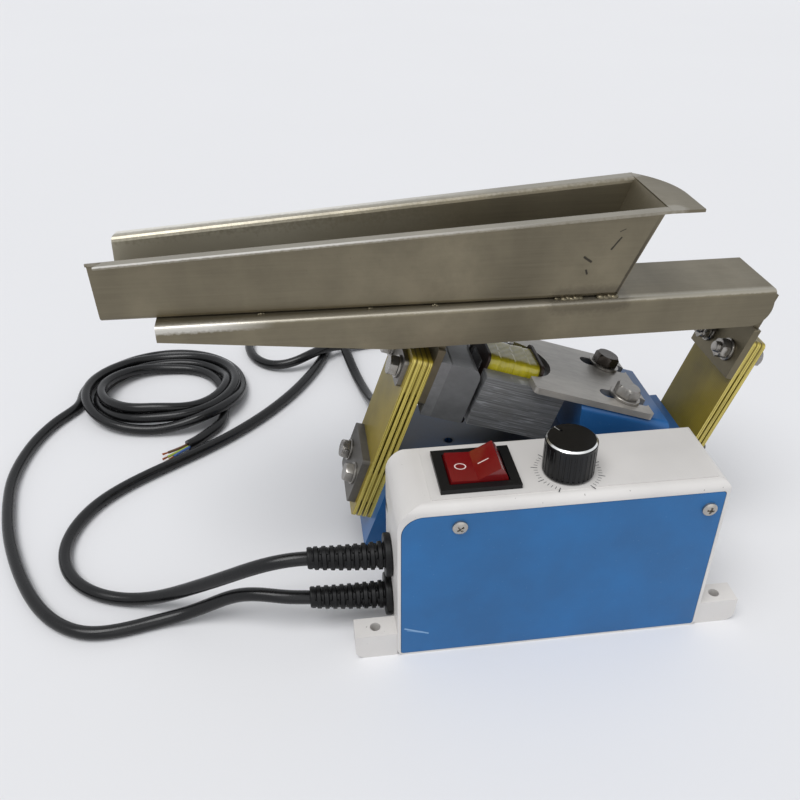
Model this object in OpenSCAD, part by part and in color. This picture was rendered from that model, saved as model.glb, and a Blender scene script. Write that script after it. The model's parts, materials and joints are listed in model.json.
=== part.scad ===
// Linear vibratory feeder with its control box.
// An electromagnet pulls a tray that stands on two packs of sloping leaf springs.
// X runs along the tray, from the discharge end (-X) to the hopper end (+X).
// Z is up, the floor is z = 0, and the origin lies under the middle of the base.

/* [Leaf springs] */
// Lean of the leaf springs from upright, in degrees
lean = 19; // [15:0.5:23]
// Length of one leaf along its slope
leaf_len = 84; // [80:0.5:88]
// Width of one leaf
leaf_w = 36; // [34:0.5:40]
// Thickness of one leaf
leaf_t = 1.6; // [1.2:0.1:2]
// Spacer between two leaves
spacer_t = 0.8; // [0.6:0.1:1.4]
// Leaves in the front pack
front_leaf_count = 4; // [2:1:4]
// Leaves in the rear pack
rear_leaf_count = 3; // [2:1:4]
// Height of the lower ends of the leaves
leaf_foot_z = 24; // [22:0.5:28]
// Radius of the round corners of leaves and clamp plates
leaf_corner = 2; // [0.5:0.5:4]
// Distance of the lower bolts from the lower end of the leaf
lower_bolt_w = 17; // [15:0.5:20]
// Distance of the upper bolts from the upper end of the leaf
upper_bolt_drop = 9.5; // [9:0.5:11]
// Distance between the two bolts of a row
bolt_pitch = 18; // [16:0.5:22]
// Height of a lower clamp bar along the leaf
bar_h = 24; // [20:1:28]
// Thickness of a lower clamp bar
bar_t = 3.5; // [3:0.5:8]
// Height of an upper clamp plate along the leaf
clamp_h = 13; // [12:0.5:16]
// Thickness of an upper clamp plate
clamp_t = 2; // [1.5:0.5:4]
// Width of the clamp bars and plates
clamp_w = 31; // [29:0.5:36]

/* [Bolts] */
// Shank diameter of the spring bolts
bolt_d = 5; // [4:0.5:6]
// Width across flats of their heads and nuts
bolt_af = 8; // [7:0.5:9]
// Height of a bolt head
head_h = 3.5; // [3:0.1:4]
// Height of a nut
nut_h = 4; // [3:0.1:5]
// Diameter of a plain washer
washer_d = 10; // [9.5:0.1:11]
// Thickness of a plain washer
washer_t = 1; // [0.8:0.1:1.4]
// Shank diameter of the magnet plate bolts
plate_bolt_d = 6; // [5:0.5:6]
// Width across flats of the magnet plate bolts
plate_bolt_af = 10; // [9:0.5:11]
// Diameter of the washers under them
plate_washer_d = 14; // [12:0.5:16]

/* [Base] */
// Length of the base along X
base_len = 137; // [133:0.5:143]
// Width of the base
base_w = 48; // [46:0.5:54]
// Height of the rubber feet
foot_h = 14; // [10:0.5:16]
// Diameter of a rubber foot
foot_d = 18; // [14:0.5:20]
// Distance between the feet along X
foot_pitch_x = 104; // [90:1:108]
// Distance between the feet along Y
foot_pitch_y = 28; // [24:0.5:28]
// Radius of the fixing bores in the feet and the base
foot_bore_r = 2.65; // [2:0.05:3]
// Height of the base top under the magnet
base_top_z = 56; // [52:0.5:58]
// Front face of the rear post
post_front_x = 25; // [23:0.5:28]
// Rear face of the rear post
post_rear_x = 66; // [62:0.5:68]
// Radius of the round edges on top of the rear post
post_edge_r = 3; // [1:0.5:4]
// Height of the step behind the rear post
rear_step_z = 52; // [48:0.5:56]

/* [Tray channel] */
// Width of the channel
channel_w = 35; // [32:0.5:36]
// Depth of the channel sides
channel_h = 16; // [14:0.5:16.5]
// Depth of the channel sides at the front end
channel_front_h = 6.5; // [6:0.5:12]
// Height of the channel top
channel_top_z = 127; // [126:0.2:130]
// Wall of the channel
channel_t = 1.5; // [1:0.1:2]
// Front end of the channel
channel_front_x = -144.5; // [-150:0.5:-130]
// Rear end of the channel
channel_rear_x = 104; // [100:0.5:110]
// Length of the tapered stretch of the sides
channel_taper = 90; // [60:1:95]
// Radius of the rounded lower corner at the rear end
channel_corner_r = 9; // [4:0.5:12]
// Thickness of the bracket plates
bracket_t = 3; // [2:0.1:4]
// Length of a bracket's foot under the channel top
bracket_foot = 20; // [14:0.5:24]

/* [Trough] */
// Front end of the trough
trough_front_x = -165; // [-175:0.5:-155]
// Rear end of the trough floor
trough_rear_x = 36.5; // [25:0.5:45]
// Sheet thickness of the trough
trough_t = 1.2; // [0.8:0.1:1.6]
// Width of the trough floor at the front
floor_w_front = 19.5; // [16:0.5:26]
// Width of the trough floor at the rear
floor_w_rear = 27.5; // [20:0.5:30]
// Wall height at the front
wall_h_front = 24; // [20:0.2:30]
// Wall height at the rear
wall_h_rear = 37; // [32:0.2:42]
// Outward lean of the side walls, in degrees
wall_lean = 5; // [2:0.5:10]
// Backward lean of the rear wall, in degrees
rear_lean = 21; // [5:0.5:30]
// Width of the outward lips
lip_w = 5.5; // [4:0.1:7]
// Reach of the rear lip behind the rear wall
rear_lip = 12.5; // [8:0.5:20]
// Radius of the far corner of the rear lip
rear_lip_r = 36; // [24:1:60]
// Setback of the far wall's front end behind the near wall's
front_skew = 4.5; // [0:0.5:8]
// Radius of the folds at mid-thickness
fold_r = 1.6; // [1:0.1:2.5]

/* [Magnet] */
// Air gap between the armature and the core
air_gap = 2; // [1.8:0.1:2.6]
// Thickness of the armature block
armature_t = 14; // [12:0.5:16]
// Height of the armature block
armature_h = 26; // [24:0.5:27]
// Width of the armature block
armature_w = 36; // [34:0.5:40]
// Thickness of the armature's carrier plate
carrier_t = 4.5; // [3:0.1:6]
// Height of the magnet's middle along the leaf
magnet_w0 = 72.5; // [70:0.5:74]
// Width of the core over its three legs
core_w = 38; // [36:0.5:42]
// Stack height of the core
core_h = 24; // [22:0.5:26]
// Length of the core's legs
leg_len = 27; // [24:0.5:30]
// Thickness of the core's back
yoke_t = 10; // [8:0.5:12]
// Width of an outer leg
side_leg_w = 7; // [6:0.5:8]
// Width of the middle leg
mid_leg_w = 12; // [10:0.5:14]
// Wall of the coil former
former_t = 0.8; // [0.6:0.1:1.2]
// Thickness of the winding
winding_t = 4; // [3:0.1:4.2]
// Width of the former's end flanges over the stack
flange_over = 5.8; // [5:0.1:6.4]
// Thickness of the magnet plate
plate_t = 2.8; // [2:0.1:4]
// Length of the magnet plate along its slope
plate_len = 57; // [52:0.5:60]
// Start of the magnet plate, from the front leaf pack
plate_u0 = 43.5; // [42:0.5:46]
// Radius of the plate's cut-out round the coil
cutout_r = 15; // [13.5:0.5:16]
// Place of the plate bolts, from the front leaf pack
plate_bolt_u = 89; // [84:0.5:91]
// Distance between the plate bolts
plate_bolt_pitch = 28; // [24:0.5:32]
// Length of the plate's adjusting slots
plate_slot_len = 24; // [16:0.5:26]

/* [Control box] */
// Width of the box
box_w = 128; // [125:0.5:140]
// Depth of the box
box_d = 38; // [38:0.5:44]
// Height of the box
box_h = 77; // [74:0.5:84]
// Wall of the moulded housing
box_t = 2.5; // [2:0.1:3]
// Gap between the box and the base
box_gap = 13.7; // [8:0.1:20]
// Left end of the box
box_left_x = -60; // [-64:0.5:-56]
// Radius of the upper left corner
box_big_r = 10; // [6:0.5:14]
// Radius of the other corners
box_small_r = 3; // [1:0.5:4]
// Thickness of the front panel
panel_t = 2; // [1.6:0.1:3]
// White rim above the front panel
panel_drop = 4.2; // [4:0.1:6]
// Width of a mounting ear
ear_w = 17; // [14:0.5:20]
// Depth of a mounting ear
ear_d = 10; // [8:0.5:10]
// Height of a mounting ear
ear_h = 12; // [8:0.5:14]
// Radius of an ear's bore
ear_bore_r = 2.2; // [2:0.05:2.6]

/* [Switch and dial] */
// Length of the switch bezel
bezel_l = 31; // [29:0.5:33]
// Width of the switch bezel
bezel_w = 25; // [24:0.5:27]
// Height of the switch bezel
bezel_h = 2; // [1.6:0.1:3]
// Middle of the switch, from the left end of the box
switch_x = 32.5; // [30:0.5:35]
// Middle of the switch, from the front of the box
switch_y = 19; // [18:0.5:20]
// Radius of the rocker about its pins
rocker_r = 11.3; // [10:0.1:11.6]
// Width of the rocker
rocker_w = 18; // [16:0.5:19]
// Full travel of the rocker, in degrees
rocker_travel = 26; // [20:1:28]
// Middle of the dial knob, from the left end of the box
knob_x = 68; // [64:0.5:72]
// Middle of the dial knob, from the front of the box
knob_y = 15; // [14:0.5:20]
// Diameter of the knob
knob_d = 20; // [16:0.5:22]
// Height of the knob
knob_h = 15; // [12:0.5:18]
// Diameter of the potentiometer's shaft
shaft_d = 6; // [5:0.5:6.5]
// Left end of the label, from the left end of the box
label_x = 13; // [11:0.5:14]
// Margin of the label at the other end
label_margin = 3.5; // [3:0.5:30]

/* [Cords] */
// Diameter of the cords
cord_d = 5.8; // [5:0.1:6]
// Length of a cord boot outside its flange
boot_len = 31; // [26:0.5:36]
// Diameter of a boot's flange
boot_flange_d = 18; // [14:0.5:18]
// Height of the supply cord's boot
mains_boot_z = 15; // [12:0.5:16]
// Height of the magnet cord's boot
output_boot_z = 37; // [35:0.5:44]
// Outer radius of the coiled supply cord
coil_r = 50; // [48:0.5:52]
// Height of the coiled supply cord
coil_h = 17; // [12:0.5:20]
// Width of its ring
coil_band = 22; // [12:1:26]

/* [Hidden] */
$fn = 48;

eps = 0.01;                 // overshoot of a cut
hole_fit = 0.3;             // clearance of a bolt in its hole, on the radius
thread_fit = 0.05;          // clearance of a shank in its thread, on the radius
seat_gap = 0.2;             // clearance of a lid in its rebate and of a body in its cut-out
leg_fit = 0.1;              // clearance of the coil former on the core

// Leaf packs. Each pack has a frame of its own: u square to the leaves, v = Y, w up the slope.
front_t = front_leaf_count * (leaf_t + spacer_t) - spacer_t;
rear_t = rear_leaf_count * (leaf_t + spacer_t) - spacer_t;
face_shift = (leaf_foot_z - foot_h) * tan(lean);
front_x = -base_len / 2 + face_shift;
rear_x = base_len / 2 + face_shift;
upper_w = leaf_len - upper_bolt_drop;
spacer_h = 17;
hole_r = bolt_d / 2 + hole_fit;
clamp_w0 = upper_w - clamp_h / 2;
bar_w0 = lower_bolt_w - bar_h / 2;
bolt_bore_depth = 12;
bolt_run_out = 2;           // length of a bolt past its nut or thread

// Channel and brackets
channel_low_z = channel_top_z - channel_h;
roof_z = channel_top_z - channel_t;
neck_w = channel_w - 2 * channel_t - 0.6;
leg_low_w = leaf_len - 19;
shoulder_z = channel_low_z - 1.4;

// Magnet, in the frame of the front pack
carrier_u = bracket_t;
armature_u = carrier_u + carrier_t;
carrier_edge = 6.5;         // least height of the carrier above and below its bolt holes
carrier_low_w = min(magnet_w0 - armature_h / 2, upper_w - carrier_edge);
carrier_top_w = max(magnet_w0 + armature_h / 2, upper_w + carrier_edge);
core_u = armature_u + armature_t + air_gap;
core_len = leg_len + yoke_t;
core_top_w = magnet_w0 + core_h / 2;
window_w = core_w / 2 - side_leg_w - mid_leg_w / 2;
former_u = core_u + 0.5;
former_len = leg_len - 1;
former_flange_t = 1.2;
plate_washer_t = 1.4;
plate_head_h = 4.5;
plate_thread = 14;          // depth of the plate bolts in the post

// Control box
box_front_y = -base_w / 2 - box_gap - box_d;
box_back_y = box_front_y + box_d;
box_right_x = box_left_x + box_w;
box_roof_z = box_h - box_t;
panel_side = 1.5;
panel_low = 1;
panel_w = box_w - 2 * panel_side;
panel_h = box_h - panel_drop - panel_low;
panel_big_r = box_big_r - panel_side;
panel_back_y = box_front_y + panel_t;
ledge_t = 1.5;              // ledge that the panel rests on
ledge_w = 2.4;
screw_places = [[23.4, box_h - 10], [box_w - 7, box_h - 12]];
screw_d = 3;
screw_head_d = 5.9;
screw_slot_l = 2.8;
screw_len = 6.5;            // shank of a panel screw under its head
column_d = 4.6;             // depth of the screw columns behind the panel
column_w = 8;
switch_at = [box_left_x + switch_x, box_front_y + switch_y, box_h];
knob_at = [box_left_x + knob_x, box_front_y + knob_y, box_h];
switch_body_l = bezel_l - 4;
switch_body_w = bezel_w - 3;
switch_body_h = 18;
label_t = 0.4;
rocker_gap = 0.35;
pin_z = label_t + bezel_h - 2.5;
pin_d = 2.4;
rocker_rise = 32;           // slope from the pins to a rocker end at mid-travel, in degrees
valley = 3.3;               // height of the rocker's crease over its pins
bushing_d = 7;
bushing_rise = 4.4;
pot_d = 17;
pot_h = 9;
shaft_top = 13;
knob_low = label_t + 0.6;
pointer_turn = 30;          // the pointer starts at eleven o'clock, seen from above
board_t = 1.6;
board_inset = 12;           // from each end of the box
board_post = 4;             // length of the posts that carry the board
board_at = [box_left_x + board_inset, box_back_y - box_t - board_post - board_t, 8];
board_size = [box_w - 2 * board_inset, board_t, 34];
peg_hole = [33, 22];        // in the left end, from its front and top edges
peg_hole_d = 2.4;
post_places = [box_left_x + 20, box_right_x - 20];
post_z = 32;
ear_y = box_front_y + 0.5;
boot_y = box_front_y + 20.5;
boot_flange_t = 3;
boot_neck_d = 10;
boot_tip_x = box_left_x - boot_flange_t - boot_len;
boot_socket = 3;            // depth to which a cord enters its boot
gland_inset = 19;           // along the base from its front end
gland_z = 36;
gland_at = [gland_inset - base_len / 2 + (gland_z - foot_h) * tan(lean), base_w / 2, gland_z];
gland_len = 14;
gland_bore_d = 8;
gland_nut_af = 12;

// Cord routes: hand-set points from the exit to the far end, straight out of the exit first.
rest_z = 3;
cord_sides = 10;
mains_route = [
    [boot_tip_x + boot_socket, boot_y, mains_boot_z], [boot_tip_x - 2, boot_y, mains_boot_z],
    [-104, boot_y, mains_boot_z + 1.5],
    [-114, -52, 19], [-125, -49, 16], [-136, -47, 10], [-147, -46, 5], [-160, -47, rest_z],
    [-174, -50, rest_z], [-188, -50, rest_z], [-201, -43, rest_z], [-212, -31, rest_z],
    [-221, -16, rest_z], [-229, 1, rest_z], [-236, 20, rest_z], [-241, 40, rest_z],
    [-244, 60, rest_z], [-243, 80, rest_z], [-239, 98, rest_z], [-232, 114, rest_z],
    [-225, 128, rest_z]];
coil_at = [-174, 137, 0];
tail_route = [[-139, 99.5, 6], [-145, 92, 4.5], [-150.5, 84.5, rest_z], [-156, 80.2, rest_z]];
output_route = [
    [boot_tip_x + boot_socket, boot_y, output_boot_z], [boot_tip_x - 2, boot_y, output_boot_z],
    [-105, boot_y, output_boot_z - 0.5],
    [-116, -53, 33], [-130, -48, 25], [-145, -42, 15], [-159, -37, 7], [-172, -33, rest_z],
    [-185, -29, rest_z], [-196, -21, rest_z], [-204, -9, rest_z], [-207, 6, rest_z],
    [-204, 22, rest_z], [-196, 37, rest_z], [-183, 50, rest_z], [-168, 61, rest_z],
    [-152, 72, rest_z], [-136, 84, rest_z], [-121, 98, rest_z], [-107, 114, rest_z],
    [-95, 131, rest_z], [-85, 149, rest_z], [-77, 168, rest_z], [-74, 187, rest_z],
    [-79, 205, rest_z], [-92, 218, rest_z], [-109, 219, rest_z], [-121, 207, rest_z],
    [-125, 190, rest_z], [-121, 172, rest_z], [-110, 160, 4], [-96, 157, 7], [-83, 163, 10],
    [-70, 173, 9], [-54, 180, 4], [-36, 183, rest_z], [-19, 192, rest_z], [-11, 208, rest_z],
    [-18, 225, rest_z], [-34, 233, rest_z], [-51, 228, 4], [-62, 213, 6], [-66, 195, 9.5],
    [-65, 176, 11], [-62, 158, 8], [-58, 140, 4], [-54, 120, 4], [-51, 101, 8], [-48, 83, 16],
    [-45, 67, 26], [-43, 54, 33], [gland_at[0], gland_at[1] + gland_len + 2, gland_at[2]],
    [gland_at[0], gland_at[1] + gland_len - boot_socket, gland_at[2]]];

// ---- Shapes used by several pieces

// A rectangle from the origin with its own radius at each corner
module round_rect(w, h, low_left, low_right, top_right, top_left) {
    module corner(r) {
        if (r > 0) difference() {
            translate([-eps, -eps]) square(r + eps);
            translate([r, r]) circle(r);
        }
    }
    difference() {
        square([w, h]);
        corner(low_left);
        translate([w, 0]) mirror([1, 0]) corner(low_right);
        translate([w, h]) rotate(180) corner(top_right);
        translate([0, h]) mirror([0, 1]) corner(top_left);
    }
}

// A plate across the leaves: u0..u0+t thick, w0..w0+h up the slope, with a row of bolt holes
module leaf_plate(u0, t, w0, h, hole_ws, width = leaf_w) {
    translate([u0, 0, w0]) rotate([90, 0, 90]) linear_extrude(t) difference() {
        translate([-width / 2, 0])
            round_rect(width, h, leaf_corner, leaf_corner, leaf_corner, leaf_corner);
        for (hole_w = hole_ws, side = [-1, 1])
            translate([side * bolt_pitch / 2, hole_w - w0]) circle(hole_r);
    }
}

module at_front() translate([front_x, 0, leaf_foot_z]) rotate([0, lean, 0]) children();
module at_rear() translate([rear_x, 0, leaf_foot_z]) rotate([0, lean, 0]) children();

// A cylinder along u from u0 to u1, at each of the two bolt places of the row at height w
module bolt_row(w, u0, u1, d, sides = 0) {
    for (side = [-1, 1])
        translate([min(u0, u1), side * bolt_pitch / 2, w]) rotate([0, 90, 0])
            cylinder(h = abs(u1 - u0), d = d, $fn = sides > 0 ? sides : $fn);
}

function hex_d(flats) = flats / cos(30);

// Ring of points round one point of a cord's route
function unit(v) = v / norm(v);
function heading(path, i) = unit(path[min(i + 1, len(path) - 1)] - path[max(i - 1, 0)]);
function cord_ring(path, i, r) =
    let (ahead = heading(path, i), side = unit(cross([0, 0, 1], ahead)), up = cross(ahead, side))
    [for (k = [0 : cord_sides - 1]) let (a = 360 * k / cord_sides)
        path[i] + r * (cos(a) * side + sin(a) * up)];

// A cord: rings of points swept along the route and closed at both ends
module cord_tube(path, d) {
    n = cord_sides;
    last = len(path) - 1;
    points = [for (i = [0 : last]) each cord_ring(path, i, d / 2)];
    walls = [for (i = [0 : last - 1], k = [0 : n - 1]) let (a = i * n + k, b = i * n + (k + 1) % n)
        each [[a, a + n, b], [b, a + n, b + n]]];
    caps = [[for (k = [0 : n - 1]) k], [for (k = [n - 1 : -1 : 0]) last * n + k]];
    polyhedron(points, concat(walls, caps), convexity = 10);
}

// ---- Tray

// Corner of a folded sheet, turned into an arc: points and outward directions, [y, z, ny, nz]
function fold(a, b, c, r) =
    let (u = unit(b - a), v = unit(c - b), turn = atan2(u[0] * v[1] - u[1] * v[0], u * v),
        back = r * tan(abs(turn) / 2), start = b - back * u, way = sign(turn), steps = 3)
    [for (k = [0 : steps])
        let (g = turn * k / steps, n0 = [-u[1], u[0]] * way,
            n = [n0[0] * cos(g) - n0[1] * sin(g), n0[0] * sin(g) + n0[1] * cos(g)],
            p = start + r * n0 - r * n)
        [p[0], p[1], n[0] * way, n[1] * way]];

// Middle line of the trough's section, from one lip over the floor to the other
function trough_line(half, h) =
    let (top = half + h * tan(wall_lean),
        v = [[-top - lip_w, h], [-top, h], [-half, 0], [half, 0], [top, h], [top + lip_w, h]],
        tip = [0, 1])
    concat([[v[0][0], v[0][1], tip[0], tip[1]]],
        [for (i = [1 : 4]) each fold(v[i - 1], v[i], v[i + 1], fold_r)],
        [[v[5][0], v[5][1], tip[0], tip[1]]]);

function trough_section(half, h) =
    let (line = trough_line(half, h), t = trough_t / 2, last = len(line) - 1)
    concat([for (p = line) [p[0] + t * p[2], p[1] + t * p[3]]],
        [for (i = [last : -1 : 0]) let (p = line[i]) [p[0] - t * p[2], p[1] - t * p[3]]]);

// The folded sheet: its section grows evenly from the front end to the sloping rear end
module trough_shell() {
    front = trough_section(floor_w_front / 2, wall_h_front);
    rear = trough_section(floor_w_rear / 2, wall_h_rear);
    n = len(front);
    skew = front_skew / floor_w_front;
    points = concat(
        [for (p = front) [trough_front_x + skew * (p[0] + floor_w_front / 2), p[0], p[1]]],
        [for (p = rear) [trough_rear_x + p[1] * tan(rear_lean), p[0], p[1]]]);
    walls = [for (i = [0 : n - 1]) let (j = (i + 1) % n) each [[i, j, i + n], [j, j + n, i + n]]];
    // each end is closed by narrow quads across the sheet
    caps = [for (i = [0 : n / 2 - 2]) let (a = i, b = i + 1, c = n - 2 - i, d = n - 1 - i)
        each [[d, c, b, a], [a + n, b + n, c + n, d + n]]];
    polyhedron(points, concat(walls, caps), convexity = 6);
}

// Rear wall between the side walls, leaning back, and its lip
module trough_rear() {
    top_half = floor_w_rear / 2 + wall_h_rear * tan(wall_lean);
    slope_h = wall_h_rear / cos(rear_lean);
    translate([trough_rear_x, 0, 0]) rotate([0, rear_lean, 0]) translate([-trough_t / 2, 0, -0.2])
        rotate([90, 0, 90]) linear_extrude(trough_t) polygon([
            [-floor_w_rear / 2, 0], [floor_w_rear / 2, 0],
            [top_half, slope_h], [-top_half, slope_h]]);
    lip_x = trough_rear_x + wall_h_rear * tan(rear_lean) - trough_t / 2;
    half = top_half + lip_w;
    // the far corner is cut along an arc that runs out into the straight rear edge
    reach = rear_lip + trough_t / 2;
    turn = acos(1 - reach / rear_lip_r);
    arc_y = half - rear_lip_r * sin(turn);
    translate([lip_x, 0, wall_h_rear - trough_t / 2]) linear_extrude(trough_t)
        polygon(concat([[0, -half], [reach, -half]], [for (k = [0 : 12]) let (a = turn * k / 12)
            [reach - rear_lip_r * (1 - cos(a)), arc_y + rear_lip_r * sin(a)]]));
}

module trough() color([0.47, 0.46, 0.42]) translate([0, 0, channel_top_z + trough_t / 2]) {
    cut = 4;
    lip_setback = 1.5;
    difference() {
        trough_shell();
        // the front end of the near lip is cut back at a slant
        edge = floor_w_front / 2 + wall_h_front * tan(wall_lean) + fold_r;
        translate([trough_front_x, -edge, wall_h_front - cut / 2]) linear_extrude(cut)
            polygon([[-cut, 0], [lip_setback + cut, 0], [lip_setback, -lip_w], [lip_setback, -2 * lip_w],
                [-cut, -2 * lip_w]]);
    }
    trough_rear();
}

module channel() color([0.47, 0.46, 0.42]) {
    length = channel_rear_x - channel_front_x;
    side_profile = [[0, channel_h - channel_front_h], [channel_taper, 0],
        [length, 0], [length, channel_h], [0, channel_h]];
    difference() {
        translate([channel_front_x, channel_w / 2, channel_low_z]) rotate([90, 0, 0])
            linear_extrude(channel_w) difference() {
                polygon(side_profile);
                translate([length, 0]) mirror([1, 0]) difference() {
                    translate([-eps, -eps]) square(channel_corner_r + eps);
                    translate([channel_corner_r, channel_corner_r]) circle(channel_corner_r);
                }
            }
        translate([channel_front_x - 1, channel_t - channel_w / 2, channel_low_z - 1])
            cube([length + 2, channel_w - 2 * channel_t, channel_h - channel_t + 1]);
        // rounded folds along the two upper edges
        for (side = [-1, 1]) scale([1, side, 1])
            translate([channel_front_x - 1, channel_w / 2, channel_top_z]) edge_cut(length + 2, 1.8);
    }
}

// What a rounded edge along +X takes off a corner at the origin, with the solid at -Y and -Z
module edge_cut(length, r) rotate([90, 0, 90]) linear_extrude(length) difference() {
    translate([-r, -r]) square(r + eps);
    translate([-r, -r]) circle(r);
}

// Bracket: a sloping leg on the leaf pack, a neck into the channel and a foot under its roof.
// The leg fills u0..u0+bracket_t of the pack's frame, and the foot runs to -X or +X.
module bracket(pack_x, u0, foot_way) {
    // place along the slope of a level z
    level_w = function (z) (z - leaf_foot_z + u0 * sin(lean)) / cos(lean);
    foot_w = neck_w - 2;
    foot_x = pack_x + (u0 + bracket_t / 2) / cos(lean) + (roof_z - leaf_foot_z) * tan(lean)
        - (foot_way > 0 ? 0 : bracket_foot);
    half = [leaf_w / 2, neck_w / 2];
    shoulder = level_w(shoulder_z);
    top = level_w(roof_z - bracket_t / 4);
    translate([pack_x, 0, leaf_foot_z]) rotate([0, lean, 0]) translate([u0, 0, 0])
        rotate([90, 0, 90]) linear_extrude(bracket_t) difference() {
            polygon([[-half[0], leg_low_w], [half[0], leg_low_w], [half[0], shoulder],
                [half[1], shoulder], [half[1], top], [-half[1], top], [-half[1], shoulder],
                [-half[0], shoulder]]);
            for (side = [-1, 1]) translate([side * bolt_pitch / 2, upper_w]) circle(hole_r);
        }
    translate([foot_x, -foot_w / 2, roof_z - bracket_t]) cube([bracket_foot, foot_w, bracket_t]);
}

module front_bracket() color([0.5, 0.49, 0.46]) bracket(front_x, 0, 1);
module rear_bracket() color([0.5, 0.49, 0.46]) bracket(rear_x, -bracket_t, -1);

module armature_carrier() color([0.44, 0.44, 0.43]) at_front()
    translate([carrier_u, -armature_w / 2, carrier_low_w])
        difference() {
            cube([carrier_t, armature_w, carrier_top_w - carrier_low_w]);
            translate([-carrier_u, armature_w / 2, -carrier_low_w])
                bolt_row(upper_w, 0, armature_u + 1, bolt_d + 2 * thread_fit);
        }

module armature() color([0.36, 0.36, 0.37]) at_front()
    translate([armature_u, armature_w / 2, magnet_w0 - armature_h / 2]) rotate([90, 0, 0])
        difference() {
            linear_extrude(armature_w)
                round_rect(armature_t, armature_h, 0.6, 1, 4.5, 1);
            // pockets that clear the bolt ends
            translate([-armature_u, armature_h / 2 - magnet_w0, armature_w / 2]) rotate([-90, 0, 0])
                bolt_row(upper_w, armature_u - 1, armature_u + bolt_run_out + 1, bolt_d + 1);
        }

// ---- Leaf springs and their clamps

module leaf_pack(u0, count) {
    for (i = [0 : count - 1])
        leaf_plate(u0 + i * (leaf_t + spacer_t), leaf_t, 0, leaf_len, [lower_bolt_w, upper_w]);
}

module spacers(u0, count, w0, hole_w) {
    for (i = [0 : count - 2])
        leaf_plate(u0 + leaf_t + i * (leaf_t + spacer_t), spacer_t, w0, spacer_h, [hole_w]);
}

module front_leaves() color([0.58, 0.55, 0.22]) at_front()
    leaf_pack(-front_t, front_leaf_count);
module rear_leaves() color([0.58, 0.55, 0.22]) at_rear()
    leaf_pack(0, rear_leaf_count);

module lower_spacers() color([0.4, 0.36, 0.2]) {
    low = lower_bolt_w - spacer_h / 2;
    at_front() spacers(-front_t, front_leaf_count, low, lower_bolt_w);
    at_rear() spacers(0, rear_leaf_count, low, lower_bolt_w);
}

module upper_spacers() color([0.4, 0.36, 0.2]) {
    low = leaf_len - spacer_h;
    at_front() spacers(-front_t, front_leaf_count, low, upper_w);
    at_rear() spacers(0, rear_leaf_count, low, upper_w);
}

module front_clamp_plate() color([0.45, 0.44, 0.42]) at_front()
    leaf_plate(-front_t - clamp_t, clamp_t, clamp_w0, clamp_h, [upper_w], clamp_w);
module rear_clamp_plate() color([0.45, 0.44, 0.42]) at_rear()
    leaf_plate(rear_t, clamp_t, clamp_w0, clamp_h, [upper_w], clamp_w);
module front_clamp_bar() color([0.45, 0.44, 0.42]) at_front()
    leaf_plate(-front_t - bar_t, bar_t, bar_w0, bar_h, [lower_bolt_w], clamp_w);
module rear_clamp_bar() color([0.45, 0.44, 0.42]) at_rear()
    leaf_plate(rear_t, bar_t, bar_w0, bar_h, [lower_bolt_w], clamp_w);

// Upper bolts: the front pair screws into the armature's carrier, the rear pair has nuts
module upper_bolts() color([0.6, 0.6, 0.58]) {
    front_head = -front_t - clamp_t - washer_t;
    at_front() {
        bolt_row(upper_w, front_head - head_h, front_head, hex_d(bolt_af), 6);
        bolt_row(upper_w, front_head, armature_u + bolt_run_out, bolt_d);
    }
    rear_head = rear_t + clamp_t + washer_t;
    rear_end = -bracket_t - washer_t - nut_h - bolt_run_out;
    at_rear() {
        bolt_row(upper_w, rear_head + head_h, rear_head, hex_d(bolt_af), 6);
        bolt_row(upper_w, rear_head, rear_end, bolt_d);
    }
}

module upper_nuts() color([0.62, 0.62, 0.6]) at_rear() difference() {
    bolt_row(upper_w, -bracket_t - washer_t, -bracket_t - washer_t - nut_h, hex_d(bolt_af), 6);
    bolt_row(upper_w, 0, -bracket_t - washer_t - nut_h - 1, bolt_d + 2 * thread_fit);
}

module washer_row(w, u0, way) difference() {
    bolt_row(w, u0, u0 + way * washer_t, washer_d);
    bolt_row(w, u0 - 2 * washer_t, u0 + 2 * washer_t, bolt_d + 2 * thread_fit);
}

module upper_washers() color([0.55, 0.55, 0.53]) {
    at_front() washer_row(upper_w, -front_t - clamp_t, -1);
    at_rear() {
        washer_row(upper_w, rear_t + clamp_t, 1);
        washer_row(upper_w, -bracket_t, -1);
    }
}

module lower_bolts() color([0.6, 0.6, 0.58]) {
    front_head = -front_t - bar_t - washer_t;
    at_front() {
        bolt_row(lower_bolt_w, front_head - head_h, front_head, hex_d(bolt_af), 6);
        bolt_row(lower_bolt_w, front_head, bolt_bore_depth - 1, bolt_d);
    }
    rear_head = rear_t + bar_t + washer_t;
    at_rear() {
        bolt_row(lower_bolt_w, rear_head + head_h, rear_head, hex_d(bolt_af), 6);
        bolt_row(lower_bolt_w, rear_head, 1 - bolt_bore_depth, bolt_d);
    }
}

module lower_washers() color([0.55, 0.55, 0.53]) {
    at_front() washer_row(lower_bolt_w, -front_t - bar_t, -1);
    at_rear() washer_row(lower_bolt_w, rear_t + bar_t, 1);
}

// ---- Base

// Height of the sloping seat of the magnet plate at x, and x of the slanted end faces at z
function seat_z(x) = leaf_foot_z + core_top_w / cos(lean) - (x - front_x) * tan(lean);
function end_x(foot_x, z) = foot_x + (z - leaf_foot_z) * tan(lean);

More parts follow.
